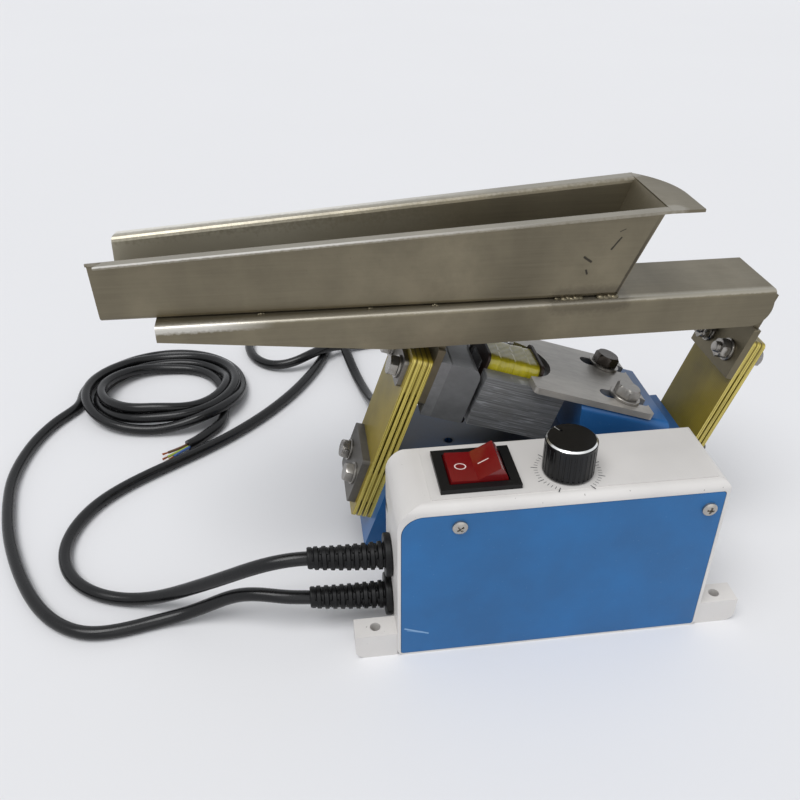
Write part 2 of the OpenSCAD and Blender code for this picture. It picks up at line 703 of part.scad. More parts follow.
module base() color([0.09, 0.28, 0.52]) difference() {
    translate([0, base_w / 2, 0]) rotate([90, 0, 0]) linear_extrude(base_w) polygon([
        [end_x(front_x, foot_h), foot_h], [end_x(rear_x, foot_h), foot_h],
        [end_x(rear_x, rear_step_z), rear_step_z], [post_rear_x, rear_step_z],
        [post_rear_x, seat_z(post_rear_x)], [post_front_x, seat_z(post_front_x)],
        [post_front_x, base_top_z], [end_x(front_x, base_top_z), base_top_z]]);
    // round edges on both sides of the post's sloping top
    for (side = [-1, 1]) scale([1, side, 1]) at_front()
        translate([core_u + core_len, base_w / 2, core_top_w]) edge_cut(base_len, post_edge_r);
    // threads of the clamp bolts, the plate bolts and the feet
    at_front() bolt_row(lower_bolt_w, -1, bolt_bore_depth, bolt_d + 2 * thread_fit);
    at_rear() bolt_row(lower_bolt_w, 1, -bolt_bore_depth, bolt_d + 2 * thread_fit);
    at_front() plate_bolt_places() translate([0, 0, core_top_w - plate_thread - 2])
        cylinder(h = plate_thread + 3, d = plate_bolt_d + 2 * thread_fit);
    foot_places() translate([0, 0, foot_h - 1]) cylinder(h = 13, r = foot_bore_r);
    // a tapped hole on the open top, and the seat of the cord gland
    translate([-28, -6, base_top_z - 8]) cylinder(h = 9, d = 4);
    translate([gland_at[0], gland_at[1] - 8, gland_at[2]]) rotate([-90, 0, 0])
        cylinder(h = 9, d = gland_bore_d);
}

module foot_places() for (x = [-1, 1], y = [-1, 1])
    translate([x * foot_pitch_x / 2, y * foot_pitch_y / 2, 0]) children();

module plate_bolt_places() for (side = [-1, 1])
    translate([plate_bolt_u, side * plate_bolt_pitch / 2, 0]) children();

// Rubber buffers with a moulded groove round the middle
module rubber_feet() color([0.08, 0.08, 0.08]) foot_places() difference() {
    groove = 1.2;
    flange = foot_h * 0.35;
    union() {
        cylinder(h = foot_h, d = foot_d - 2 * groove);
        for (z = [0, foot_h - flange]) translate([0, 0, z]) cylinder(h = flange, d = foot_d);
    }
    translate([0, 0, -1]) cylinder(h = foot_h + 2, r = foot_bore_r);
}

module base_gland() color([0.07, 0.07, 0.07]) translate(gland_at) rotate([-90, 0, 0]) {
    nut_len = 4;
    dome_z = 9;
    difference() {
        union() {
            translate([0, 0, -7.5]) cylinder(h = 8, d = gland_bore_d - 2 * thread_fit);
            cylinder(h = nut_len, d = hex_d(gland_nut_af), $fn = 6);
            cylinder(h = dome_z, d = gland_nut_af - 1);
            translate([0, 0, dome_z])
                cylinder(h = gland_len - dome_z, d1 = gland_nut_af - 2, d2 = cord_d + 2.6);
        }
        translate([0, 0, gland_len - boot_socket]) cylinder(h = 10, d = cord_d + 0.2);
    }
}

// ---- Magnet

module magnet_plate() color([0.6, 0.59, 0.57]) at_front() translate([0, 0, core_top_w])
    linear_extrude(plate_t) difference() {
        translate([plate_u0, -base_w / 2])
            round_rect(plate_len, base_w, 2, 2, 2, 2);
        translate([plate_u0 - 2, 0]) circle(cutout_r);
        translate([plate_u0 - 5, -cutout_r]) square([2, 2 * cutout_r]);
        for (side = [-1, 1]) translate([plate_bolt_u, side * plate_bolt_pitch / 2]) {
            slot_r = plate_bolt_d / 2 + hole_fit;
            run = plate_slot_len / 2 - slot_r;
            for (way = [-1, 1]) translate([way * run, 0]) circle(slot_r);
            square([2 * run, 2 * slot_r], center = true);
        }
    }

module plate_bolts() color([0.42, 0.41, 0.39]) at_front() plate_bolt_places()
    translate([0, 0, core_top_w]) {
        translate([0, 0, plate_t + plate_washer_t])
            cylinder(h = plate_head_h, d = hex_d(plate_bolt_af), $fn = 6);
        translate([0, 0, -plate_thread])
            cylinder(h = plate_thread + plate_t + plate_washer_t + 1, d = plate_bolt_d);
    }

module plate_washers() color([0.55, 0.54, 0.52]) at_front() plate_bolt_places()
    translate([0, 0, core_top_w + plate_t]) difference() {
        cylinder(h = plate_washer_t, d = plate_washer_d);
        translate([0, 0, -1])
            cylinder(h = plate_washer_t + 2, d = plate_bolt_d + 2 * thread_fit);
    }

module magnet_core() color([0.35, 0.35, 0.37]) at_front()
    translate([core_u, 0, magnet_w0 - core_h / 2]) linear_extrude(core_h) difference() {
        translate([0, -core_w / 2]) square([core_len, core_w]);
        for (side = [-1, 1]) translate([-1, side * (mid_leg_w / 2 + window_w / 2)])
            translate([0, -window_w / 2]) square([leg_len + 1, window_w]);
    }

// A square tube round the middle leg: its clearance to the leg, wall, length along u and corners
module leg_sleeve(grow, t, length, r) {
    half_v = mid_leg_w / 2 + grow;
    half_w = core_h / 2 + grow;
    rotate([90, 0, 90]) linear_extrude(length) difference() {
        translate([-half_v - t, -half_w - t])
            round_rect(2 * (half_v + t), 2 * (half_w + t), r, r, r, r);
        translate([-half_v, -half_w]) square([2 * half_v, 2 * half_w]);
    }
}

module coil_former() color([0.06, 0.06, 0.06]) at_front()
    translate([former_u, 0, magnet_w0]) {
        leg_sleeve(leg_fit, former_t, former_len, 0.5);
        half_v = window_w + mid_leg_w / 2 - 0.3;
        half_w = core_h / 2 + flange_over;
        for (u = [0, former_len - former_flange_t]) translate([u, 0, 0]) difference() {
            rotate([90, 0, 90]) linear_extrude(former_flange_t) translate([-half_v, -half_w])
                round_rect(2 * half_v, 2 * half_w, 3, 3, 3, 3);
            translate([-1, -mid_leg_w / 2 - leg_fit, -core_h / 2 - leg_fit])
                cube([former_flange_t + 2, mid_leg_w + 2 * leg_fit, core_h + 2 * leg_fit]);
        }
    }

module coil_winding() color([0.78, 0.74, 0.12]) at_front()
    translate([former_u + former_flange_t, 0, magnet_w0])
        leg_sleeve(leg_fit + former_t, winding_t, former_len - 2 * former_flange_t, 3.5);

// ---- Control box

module box_profile(inset) {
    big = box_big_r - inset;
    small = max(box_small_r - inset, 0.4);
    translate([box_left_x + inset, inset])
        round_rect(box_w - 2 * inset, box_h - 2 * inset, small, small, small, big);
}

// Takes a 2D shape in x and z and carries it from y0 back to y1
module along_y(y0, y1) translate([0, y1, 0]) rotate([90, 0, 0]) linear_extrude(y1 - y0) children();

module box_housing() color([0.84, 0.83, 0.82]) {
    difference() {
        union() {
            difference() {
                along_y(box_front_y, box_back_y) box_profile(0);
                along_y(panel_back_y + ledge_t, box_back_y - box_t) box_profile(box_t);
                // the mouth behind the panel, with a ledge for the panel to rest on
                along_y(box_front_y - 1, panel_back_y + ledge_t + 1) box_profile(box_t + ledge_w);
            }
            // screw columns and board posts
            for (p = screw_places)
                translate([box_left_x + p[0] - column_w / 2, panel_back_y, p[1] - column_w / 2])
                    cube([column_w, column_d + 0.3, box_roof_z - p[1] + column_w / 2 + 0.5]);
            for (x = post_places) translate([x, board_at[1] + board_size[1], post_z])
                rotate([-90, 0, 0]) cylinder(h = box_back_y - box_t / 2 - board_at[1]
                    - board_size[1], d = 6);
            for (x = [box_left_x - ear_w, box_right_x - eps])
                mounting_ear(x, x < 0 ? 1 : 0);
        }
        // rebate of the front panel
        along_y(box_front_y - 1, panel_back_y) translate([-seat_gap, -seat_gap])
            panel_outline(2 * seat_gap);
        for (p = screw_places) translate([box_left_x + p[0], box_front_y - 1, p[1]])
            rotate([-90, 0, 0]) cylinder(h = screw_len + 1.4, d = screw_d + 2 * thread_fit);
        // rounded front and back edges of the top
        translate([box_left_x - 1, box_front_y, box_h]) scale([1, -1, 1]) edge_cut(box_w + 2, 3.4);
        translate([box_left_x - 1, box_back_y, box_h]) edge_cut(box_w + 2, 1.2);
        // openings of the switch, the dial and the two cords
        translate([0, 0, box_roof_z - 1]) linear_extrude(box_t + 2) control_openings();
        for (z = [mains_boot_z, output_boot_z]) translate([box_left_x - 1, boot_y, z])
            rotate([0, 90, 0]) cylinder(h = box_t + 2, d = boot_neck_d);
        // a small peg hole high on the left end
        translate([box_left_x - 1, box_front_y + peg_hole[0], box_h - peg_hole[1]])
            rotate([0, 90, 0]) cylinder(h = box_t, d = peg_hole_d);
    }
}

// Openings of the switch body and the dial's bushing, seen from above
module control_openings() {
    translate([switch_at[0], switch_at[1]])
        square([switch_body_l + 2 * seat_gap, switch_body_w + 2 * seat_gap], center = true);
    translate([knob_at[0], knob_at[1]]) circle(d = bushing_d + 2 * thread_fit);
}

module mounting_ear(x, left) difference() {
    edge_r = 4;
    translate([x, ear_y, 0]) difference() {
        cube([ear_w + eps, ear_d, ear_h]);
        // the outer lower edge is rounded
        translate([left ? 0 : ear_w + eps, -1, 0]) mirror([left ? 0 : 1, 0, 0]) rotate([-90, 0, 0])
            mirror([0, 1, 0]) linear_extrude(ear_d + 2) difference() {
                translate([-eps, -eps]) square(edge_r);
                translate([edge_r, edge_r]) circle(edge_r);
            }
    }
    translate([x + ear_w / 2, ear_y + ear_d / 2, -1]) cylinder(h = ear_h + 2, r = ear_bore_r);
}

module panel_outline(grow) translate([box_left_x + panel_side, panel_low])
    round_rect(panel_w + grow, panel_h + grow, 1, 1, 1.5, panel_big_r);

module front_panel() color([0.24, 0.44, 0.66]) difference() {
    along_y(box_front_y, panel_back_y) panel_outline(0);
    for (p = screw_places) translate([box_left_x + p[0], box_front_y - 1, p[1]])
        rotate([-90, 0, 0]) cylinder(h = panel_t + 2, d = screw_d + 2 * thread_fit);
}

// Pan-head screws with a cross recess
module panel_screws() color([0.75, 0.74, 0.7]) for (p = screw_places)
    translate([box_left_x + p[0], box_front_y, p[1]]) rotate([90, 0, 0]) {
        difference() {
            union() {
                cylinder(h = 1, d = screw_head_d);
                translate([0, 0, 1]) cylinder(h = 0.8, d1 = screw_head_d, d2 = 0.6 * screw_head_d);
            }
            for (a = [0, 90]) rotate([0, 0, a + 20])
                translate([-screw_slot_l / 2, -screw_slot_l / 8, 0.7])
                    cube([screw_slot_l, screw_slot_l / 4, 2]);
        }
        translate([0, 0, -screw_len]) cylinder(h = screw_len + 0.5, d = screw_d);
    }

// Thin overlay on the top, round the switch and the dial
module dial_label() color([0.88, 0.87, 0.86]) translate([0, 0, box_h]) linear_extrude(label_t)
    difference() {
        translate([box_left_x + label_x, box_front_y + 4])
            round_rect(box_w - label_x - label_margin, box_d - 6, 1, 1, 1, 1);
        control_openings();
    }

module switch_frame() color([0.07, 0.07, 0.07]) translate(switch_at) {
    well_l = 2 * (rocker_r + rocker_gap);
    well_w = rocker_w + 2 * rocker_gap;
    difference() {
        union() {
            translate([-bezel_l / 2, -bezel_w / 2, label_t]) cube([bezel_l, bezel_w, bezel_h]);
            translate([-switch_body_l / 2, -switch_body_w / 2, -switch_body_h])
                cube([switch_body_l, switch_body_w, switch_body_h + label_t + eps]);
            // three blade terminals
            for (x = [-8, 0, 8]) translate([x - 0.4, -2.4, -switch_body_h - 8])
                cube([0.8, 4.8, 9]);
        }
        translate([-well_l / 2, -well_w / 2, pin_z - rocker_r - 1])
            cube([well_l, well_w, switch_body_h + rocker_r]);
        translate([0, -switch_body_w / 2 + 0.8, pin_z]) rotate([-90, 0, 0])
            cylinder(h = switch_body_w - 1.6, d = pin_d + 2 * thread_fit);
    }
}

// The rocker is a slice of a drum on two pins, with a shallow V on top, tipped to the off side
module rocker() color([0.62, 0.12, 0.12]) translate([0, 0, pin_z]) translate(switch_at) {
    tip = rocker_travel / 2;
    end_point = function (a) rocker_r * [cos(a), sin(a)];
    right = end_point(rocker_rise + tip);
    left = end_point(180 - rocker_rise + tip);
    crease = valley * [-sin(tip), cos(tip)];
    reach = 2 * rocker_r;
    translate([0, rocker_w / 2, 0]) rotate([90, 0, 0]) linear_extrude(rocker_w) intersection() {
        circle(rocker_r, $fn = 64);
        polygon([crease, right, [reach, right[1]], [reach, -6], [-reach, -6],
            [-reach, left[1]], left]);
    }
    translate([0, -rocker_w / 2 - 1, 0]) rotate([-90, 0, 0])
        cylinder(h = rocker_w + 2, d = pin_d);
}

module potentiometer() color([0.3, 0.32, 0.3]) translate(knob_at) difference() {
    union() {
        translate([0, 0, -box_t - pot_h]) cylinder(h = pot_h, d = pot_d);
        translate([0, 0, -box_t - eps]) cylinder(h = box_t + bushing_rise, d = bushing_d);
        // its three soldering tags
        translate([-6, -pot_d / 2 - 4, -box_t - pot_h + 1]) cube([12, 8, 2]);
    }
    translate([0, 0, -box_t - pot_h + 2])
        cylinder(h = pot_h + box_t + bushing_rise, d = shaft_d + 2 * thread_fit);
}

module pot_nut() color([0.7, 0.7, 0.68]) translate([0, 0, label_t]) translate(knob_at) difference() {
    cylinder(h = 2, d = hex_d(10), $fn = 6);
    translate([0, 0, -1]) cylinder(h = 4, d = bushing_d + 2 * thread_fit);
}

module pot_shaft() color([0.75, 0.75, 0.74]) translate(knob_at) {
    low = -box_t - pot_h + 2.5;
    translate([0, 0, low]) cylinder(h = shaft_top - low, d = shaft_d);
}

// Turned knob: skirt, bright bevel round the top, fine grip flutes and a pointer groove
module knob() color([0.07, 0.07, 0.07]) translate(knob_at) {
    top = knob_low + knob_h;
    difference() {
        translate([0, 0, knob_low]) rotate_extrude() polygon([
            [0, 0], [knob_d / 2 - 0.4, 0], [knob_d / 2, 0.4], [knob_d / 2, knob_h - 1],
            [knob_d / 2 - 1, knob_h], [0, knob_h]]);
        translate([0, 0, knob_low - 1]) cylinder(h = 5, d = 13.5);
        translate([0, 0, knob_low - 1]) cylinder(h = shaft_top - knob_low + 1,
            d = shaft_d + 2 * thread_fit);
        rotate([0, 0, 90 + pointer_turn]) translate([knob_d / 2 - 5, -0.5, top - 0.5])
            cube([5.5, 1, 1]);
        for (k = [0 : 29]) rotate([0, 0, 12 * k]) translate([knob_d / 2 + 0.25, 0, knob_low + 1])
            cylinder(h = knob_h - 3.2, d = 1, $fn = 16);
    }
}

module circuit_board() color([0.1, 0.35, 0.16]) difference() {
    translate(board_at) cube(board_size);
    for (x = post_places) translate([x, board_at[1] - 1, post_z]) rotate([-90, 0, 0])
        cylinder(h = board_size[1] + 2, d = 3.2);
}

// Power switch on its cooling fins, a filter capacitor and the cord terminals
module board_parts() color([0.25, 0.25, 0.28]) translate(board_at) {
    fin_t = 1.2;
    fin_pitch = 4;
    fin_d = 14;
    fin_h = 26;
    fins = 5;
    fin_x = 0.45 * board_size[0];
    fin_z = 4;
    web_t = 2;
    capacitor = [22, 10, 14];
    capacitor_inset = 6;
    terminals = [24, 9, 9];
    terminals_at = [14, 3];
    translate([fin_x, 0, fin_z]) {
        for (k = [0 : fins - 1]) translate([fin_pitch * k, -fin_d, 0]) cube([fin_t, fin_d, fin_h]);
        translate([0, -web_t, 0]) cube([fin_pitch * (fins - 1) + fin_t, web_t, fin_h]);
    }
    translate([board_size[0] - capacitor[0] - capacitor_inset, -capacitor[1], capacitor_inset])
        cube(capacitor);
    translate([terminals_at[0], -terminals[1], terminals_at[1]]) cube(terminals);
}

// Cord boot: flange, tapering ribbed sleeve and a neck snapped through the wall
module boot(z) translate([box_left_x, boot_y, z]) rotate([0, -90, 0]) {
    tip = boot_flange_t + boot_len;
    collar = 2;
    rib_t = 2;
    rib_count = 9;
    rib_pitch = (boot_len - collar) / rib_count;
    rib_d = function (k) 11.6 - 0.28 * k;
    difference() {
        union() {
            cylinder(h = boot_flange_t, d = boot_flange_d);
            translate([0, 0, -box_t - 1.5]) cylinder(h = box_t + 2, d = boot_neck_d - 2 * thread_fit);
            cylinder(h = tip, d1 = 9.4, d2 = 7.6);
            for (k = [0 : rib_count - 1])
                translate([0, 0, boot_flange_t + rib_pitch * (k + 1) - rib_t])
                    cylinder(h = rib_t, d = rib_d(k));
            translate([0, 0, tip - collar]) cylinder(h = collar, d = 9);
        }
        translate([0, 0, tip - boot_socket]) cylinder(h = boot_socket + 1, d = cord_d + 0.2);
    }
}

module mains_boot() color([0.06, 0.06, 0.06]) boot(mains_boot_z);
module output_boot() color([0.06, 0.06, 0.06]) boot(output_boot_z);

// ---- Cords

module mains_cord() color([0.05, 0.05, 0.05]) cord_tube(mains_route, cord_d);
module mains_tail() color([0.05, 0.05, 0.05]) cord_tube(tail_route, cord_d);
module output_cord() color([0.05, 0.05, 0.05]) cord_tube(output_route, cord_d);

// Outer shape of the wound turns
module mains_coil() color([0.05, 0.05, 0.05]) translate(coil_at) rotate_extrude($fn = 64)
    translate([coil_r - coil_band, 0]) round_rect(coil_band, coil_h, 2.5, 2.5, 5, 5);

// Three bare cores fanned out of the end of the sheath
module mains_cores() color([0.5, 0.55, 0.1]) {
    last = len(tail_route) - 1;
    ahead = heading(tail_route, last);
    fan = 7;
    turn = atan2(ahead[1], ahead[0]);
    for (k = [-1, 0, 1]) translate(tail_route[last]) rotate([0, 0, turn + fan * k])
        translate([0, 1.7 * k, -0.9 + abs(k) * 0.4]) rotate([0, 90, 0])
            cylinder(h = 16 - 2 * abs(k), d = 1.6, $fn = 16);
}

trough();
channel();
front_bracket();
rear_bracket();
armature_carrier();
armature();
front_leaves();
rear_leaves();
lower_spacers();
upper_spacers();
front_clamp_plate();
rear_clamp_plate();
front_clamp_bar();
rear_clamp_bar();
upper_bolts();
upper_nuts();
upper_washers();
lower_bolts();
lower_washers();
base();
rubber_feet();
magnet_plate();
plate_bolts();
plate_washers();
magnet_core();
coil_former();
coil_winding();
base_gland();
box_housing();
front_panel();
panel_screws();
dial_label();
switch_frame();
rocker();
potentiometer();
pot_nut();
pot_shaft();
knob();
circuit_board();
board_parts();
mains_boot();
output_boot();
mains_cord();
mains_coil();
mains_tail();
mains_cores();
output_cord();
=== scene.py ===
"""Looks of a linear vibratory feeder and its control box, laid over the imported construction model.

X runs along the tray, from the discharge end to the hopper end. Z is up and the floor is z = 0. Metres.
"""
import json
import math

import bmesh
import bpy
import numpy as np
from bpy.props import FloatProperty, FloatVectorProperty, IntProperty, PointerProperty
from mathutils import Matrix, Vector


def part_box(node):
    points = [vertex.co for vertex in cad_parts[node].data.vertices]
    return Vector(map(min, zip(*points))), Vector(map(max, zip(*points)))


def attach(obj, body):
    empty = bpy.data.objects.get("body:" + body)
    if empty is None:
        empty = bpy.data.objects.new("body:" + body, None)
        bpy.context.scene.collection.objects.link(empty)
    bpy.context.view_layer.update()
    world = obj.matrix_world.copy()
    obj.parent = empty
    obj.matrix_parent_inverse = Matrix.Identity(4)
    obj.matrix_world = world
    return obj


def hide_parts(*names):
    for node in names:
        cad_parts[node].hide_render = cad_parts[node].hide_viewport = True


bl_info = {
    "name": "Linear vibratory feeder",
    "version": (1, 0, 0),
    "blender": (4, 5, 0),
    "location": "View3D > Sidebar > Feeder",
    "description": "Finishes, cords, fasteners and stage of a linear vibratory feeder",
    "category": "Object",
}

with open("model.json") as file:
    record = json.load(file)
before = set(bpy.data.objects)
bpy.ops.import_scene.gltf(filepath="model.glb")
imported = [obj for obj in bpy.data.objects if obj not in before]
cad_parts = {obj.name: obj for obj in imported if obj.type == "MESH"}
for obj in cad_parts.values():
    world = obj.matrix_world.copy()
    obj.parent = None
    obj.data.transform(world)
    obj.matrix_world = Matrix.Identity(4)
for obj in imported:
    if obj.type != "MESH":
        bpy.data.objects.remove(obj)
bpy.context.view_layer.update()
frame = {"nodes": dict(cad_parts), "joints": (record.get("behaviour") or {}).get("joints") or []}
JOINTS = {joint["name"]: joint for joint in frame["joints"]}
MM = 0.001


# ---- Places read from the frame

def pack_matrix(node):
    """Frame of a leaf pack: u square to its leaves, v along Y, w up the slope, from the leaf foot.

    The box of a leaning pack is dx = L sin + t cos wide and t sin + L cos high, which gives L and t.
    """
    axis = JOINTS["tray_throw"]["axis"]
    lean = math.atan2(-axis[2], axis[0])
    low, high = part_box(node)
    run, rise = high.x - low.x, high.z - low.z
    thick = (run * math.cos(lean) - rise * math.sin(lean)) / math.cos(2 * lean)
    front = node == "front_leaves"
    foot = (low.x + thick * math.cos(lean) * front, 0, low.z + thick * math.sin(lean) * (not front))
    return Matrix.Translation(foot) @ Matrix.Rotation(lean, 4, "Y")


FRONT = pack_matrix("front_leaves")
REAR = pack_matrix("rear_leaves")


def solids(node, matrix=None):
    """Corner points of each separate solid of a CAD node, seen from a matrix's own frame."""
    mesh = bmesh.new()
    mesh.from_mesh(frame["nodes"][node].data)
    bmesh.ops.remove_doubles(mesh, verts=mesh.verts, dist=1e-6)
    back = matrix.inverted() if matrix else Matrix.Identity(4)
    todo, found = set(mesh.verts), []
    while todo:
        edge, group = [todo.pop()], []
        while edge:
            vert = edge.pop()
            group.append(back @ vert.co)
            near = {link.other_vert(vert) for link in vert.link_edges} & todo
            todo -= near
            edge.extend(near)
        found.append(np.array(group))
    mesh.free()
    return sorted(found, key=lambda group: tuple(np.round(group.mean(0), 4)))


# ---- Sizes and colours that a user would change

def srgb(red, green, blue):
    """Linear colour of an 8-bit display colour."""
    part = np.array([red, green, blue]) / 255
    return tuple(np.where(part <= 0.04045, part / 12.92, ((part + 0.055) / 1.055) ** 2.4).tolist())


def length(text, default):
    return FloatProperty(name=text, description=text + " in metres", default=default, unit="LENGTH",
                         precision=5)


def colour(text, red, green, blue):
    return FloatVectorProperty(name=text, description="Colour of the " + text.lower(), size=3,
                               subtype="COLOR", default=srgb(red, green, blue), min=0, max=1)


class FeederSizes(bpy.types.PropertyGroup):
    cord_diameter: length("Cord diameter", 0.0058)
    boot_tip_x: length("Place of the boot tips along X", -0.094)
    boot_y: length("Place of the boots along Y", -0.0552)
    supply_z: length("Height of the supply cord's boot", 0.015)
    magnet_z: length("Height of the magnet cord's boot", 0.037)
    gland_x: length("Place of the gland along X", -0.042)
    gland_tip_y: length("Tip of the gland along Y", 0.038)
    gland_z: length("Height of the gland", 0.036)
    socket: length("Depth of a cord in its boot", 0.003)
    bend: length("Rise of a boot's tip", 0.002)
    points_per_turn: IntProperty(name="Points per turn", default=24, min=12, max=60,
                                 description="Route points on one turn of the coil")

    bolt_flats: length("Width across flats of the spring bolts", 0.008)
    bolt_diameter: length("Shank diameter of the spring bolts", 0.005)
    head_height: length("Head height of the spring bolts", 0.0035)
    plate_bolt_flats: length("Width across flats of the plate bolts", 0.010)
    plate_bolt_diameter: length("Shank diameter of the plate bolts", 0.006)
    plate_head_height: length("Head height of the plate bolts", 0.0045)
    thread_pitch: length("Thread pitch", 0.0008)
    boot_length: length("Length of a boot outside its flange", 0.031)
    boot_flange: length("Diameter of a boot's flange", 0.018)
    rocker_radius: length("Radius of the rocker about its pins", 0.0113)


class FeederColours(bpy.types.PropertyGroup):
    steel: colour("Stainless sheet", 120, 112, 93)
    plate: colour("Zinc plate", 172, 168, 162)
    iron: colour("Laminated iron", 132, 133, 134)
    laminate: colour("Leaf laminate", 140, 122, 34)
    laminate_edge: colour("Leaf edges", 218, 200, 106)
    paint: colour("Base paint", 34, 92, 150)
    panel: colour("Front panel", 26, 98, 156)
    shell: colour("Box shell", 214, 211, 208)
    rocker: colour("Rocker", 116, 14, 17)
    black: colour("Black mouldings", 15, 15, 16)
    tape: colour("Winding tape", 206, 192, 40)
    rubber: colour("Rubber", 17, 17, 18)


class FeederStage(bpy.types.PropertyGroup):
    camera: FloatVectorProperty(name="Camera", description="Place of the camera", size=3,
                                subtype="TRANSLATION", unit="LENGTH", default=(-0.0897, -0.3086, 0.2775))
    pitch: FloatProperty(name="Pitch", description="Downward tilt of the camera", subtype="ANGLE",
                         default=math.radians(33))
    yaw: FloatProperty(name="Yaw", description="Turn of the camera towards +X", subtype="ANGLE",
                       default=math.radians(7.5))
    lens: FloatProperty(name="Lens", description="Focal length in millimetres", default=38.115)
    floor: colour("Floor", 226, 226, 228)


GROUPS = {"feeder_sizes": FeederSizes, "feeder_colours": FeederColours,
          "feeder_stage": FeederStage}


# ---- Finishes

class Nodes:
    """A node tree whose nodes are made and linked by short calls."""

    def __init__(self, tree, shader):
        self.tree, self.shader = tree, tree.nodes[shader]

    def set(self, socket, value):
        target = self.shader.inputs[socket] if isinstance(socket, str) else socket
        if isinstance(value, bpy.types.NodeSocket):
            self.tree.links.new(value, target)
        else:
            target.default_value = value

    def node(self, kind, inputs, **settings):
        made = self.tree.nodes.new("ShaderNode" + kind)
        for key, value in settings.items():
            setattr(made, key, value)
        for key, value in inputs.items():
            self.set(made.inputs[key], value)
        return made

    def spread(self, value, low, high, start, end):
        return self.node("MapRange", {"Value": value, "From Min": low, "From Max": high,
                                      "To Min": start, "To Max": end}).outputs["Result"]

    def math(self, kind, first, second=0.0):
        return self.node("Math", {0: first, 1: second}, operation=kind).outputs[0]

    def product(self, first, *others):
        for value in others:
            first = self.math("MULTIPLY", first, value)
        return first


class Finish(Nodes):
    """A material. In its calls a number that stands for a colour is that much of the base colour."""

    def __init__(self, name, base, roughness=0.5, metallic=0.0, matrix=None, **sockets):
        self.material = bpy.data.materials.new(name)
        self.material.use_nodes = True
        self.base, self.roughness, self.matrix = base, roughness, matrix
        super().__init__(self.material.node_tree, "Principled BSDF")
        self.set("Base Color", (*base, 1))
        self.set("Roughness", roughness)
        self.set("Metallic", metallic)
        for socket, value in sockets.items():
            self.set(socket.replace("_", " ").title().replace("Ior", "IOR"), value)

    def place(self):
        return self.node("TexCoord", {}).outputs["Object"]

    def normal(self):
        return self.node("NewGeometry", {}).outputs["Normal"]

    def coords(self, scale=(1, 1, 1)):
        """Object coordinates, or the u, v, w of the finish's own frame, times a scale."""
        source = self.place()
        if self.matrix:
            place, turn = self.matrix.to_translation(), self.matrix.to_euler()
            source = self.node("Mapping", {"Vector": source, "Location": place, "Rotation": turn},
                               vector_type="TEXTURE").outputs[0]
        return self.node("Mapping", {"Vector": source, "Scale": scale}).outputs[0]

    def noise(self, scale, detail=4, rough=0.55, distortion=0.0):
        """Noise with one scale, or with a scale for each axis, which draws it out."""
        drawn = np.ndim(scale) > 0
        vector = self.coords(scale if drawn else (1, 1, 1))
        return self.node("TexNoise", {"Vector": vector, "Scale": 1 if drawn else scale, "Detail": detail,
                                      "Roughness": rough, "Distortion": distortion}).outputs["Fac"]

    def axis(self, vector, index):
        return self.node("SeparateXYZ", {0: vector}).outputs[index]

    def mix(self, factor, first, second):
        def paint(value):
            if isinstance(value, bpy.types.NodeSocket):
                return value
            return (*(tint(self.base, value) if isinstance(value, (int, float)) else value), 1)
        return self.node("Mix", {0: factor, 6: paint(first), 7: paint(second)},
                         data_type="RGBA").outputs[2]

    def layers(self, body, *layers):
        """Lays colours over a body: each has a field, the values of it between which the colour
        comes in, the colour, and its greatest share.
        """
        for field, low, high, tone, *most in layers:
            body = self.mix(self.spread(field, low, high, 0, *(most or [1])), body, tone)
        return body

    def paint(self, *layers):
        self.set("Base Color", self.layers(*layers))

    def uneven(self, field, less, more, high=0.7):
        """Lets the roughness wander about its own value with a field."""
        self.set("Roughness", self.spread(field, 0.3, high, self.roughness - less, self.roughness + more))

    def stroke(self, start, end, width, wobble=0.0, squeeze=(1, 0.2, 1), fade=False):
        """1 on a thin line from start to end, 0 away from it: by the distance to the segment.

        squeeze shrinks the distance along an axis, so that a mark on a slanting wall isn't missed.
        fade lets the line weaken over its second half.
        """
        place = self.place()
        if wobble:
            push = self.node("TexNoise", {"Vector": place, "Scale": 700}).outputs["Color"]
            push = self.vector("SUBTRACT", push, (0.5, 0.5, 0.5))
            push = self.node("VectorMath", {0: push, "Scale": wobble}, operation="SCALE").outputs[0]
            place = self.vector("ADD", place, push)
        place = self.vector("MULTIPLY", place, squeeze)
        start, end = (Vector(np.array(point) * squeeze) for point in (start, end))
        run = end - start
        away = self.vector("SUBTRACT", place, start)
        share = self.spread(self.vector("DOT_PRODUCT", away, run, "Value"), 0, run.length_squared, 0, 1)
        foot = self.node("VectorMath", {0: tuple(run), "Scale": share}, operation="SCALE").outputs[0]
        mask = self.spread(self.vector("DISTANCE", away, foot, "Value"), width * 0.5, width, 1, 0)
        return self.product(mask, self.spread(share, 0.45, 1, 1, 0)) if fade else mask

    def vector(self, kind, first, second, result=0):
        return self.node("VectorMath", {0: first, 1: second}, operation=kind).outputs[result]

    def marks(self, base, marks):
        """Lays marks over a colour: a start, an end and a width in mm, a tone, a strength and more."""
        for start, end, width, tone, strength, *more in marks:
            mask = self.stroke(np.array(start) * MM, np.array(end) * MM, width * MM, 0.6 * width * MM,
                               **(more[0] if more else {}))
            base = self.mix(self.product(mask, strength), base, tone)
        return base

    def bump(self, height, distance, strength=1.0):
        bump = self.node("Bump", {"Height": height, "Distance": distance, "Strength": strength})
        self.set("Normal", bump.outputs[0])

    def on(self, *nodes):
        """Gives the finish to CAD nodes."""
        for node in nodes:
            data = frame["nodes"][node].data
            data.materials.clear()
            data.materials.append(self.material)
        return self


def tint(base, factor):
    return tuple(min(1.0, channel * factor) for channel in base)


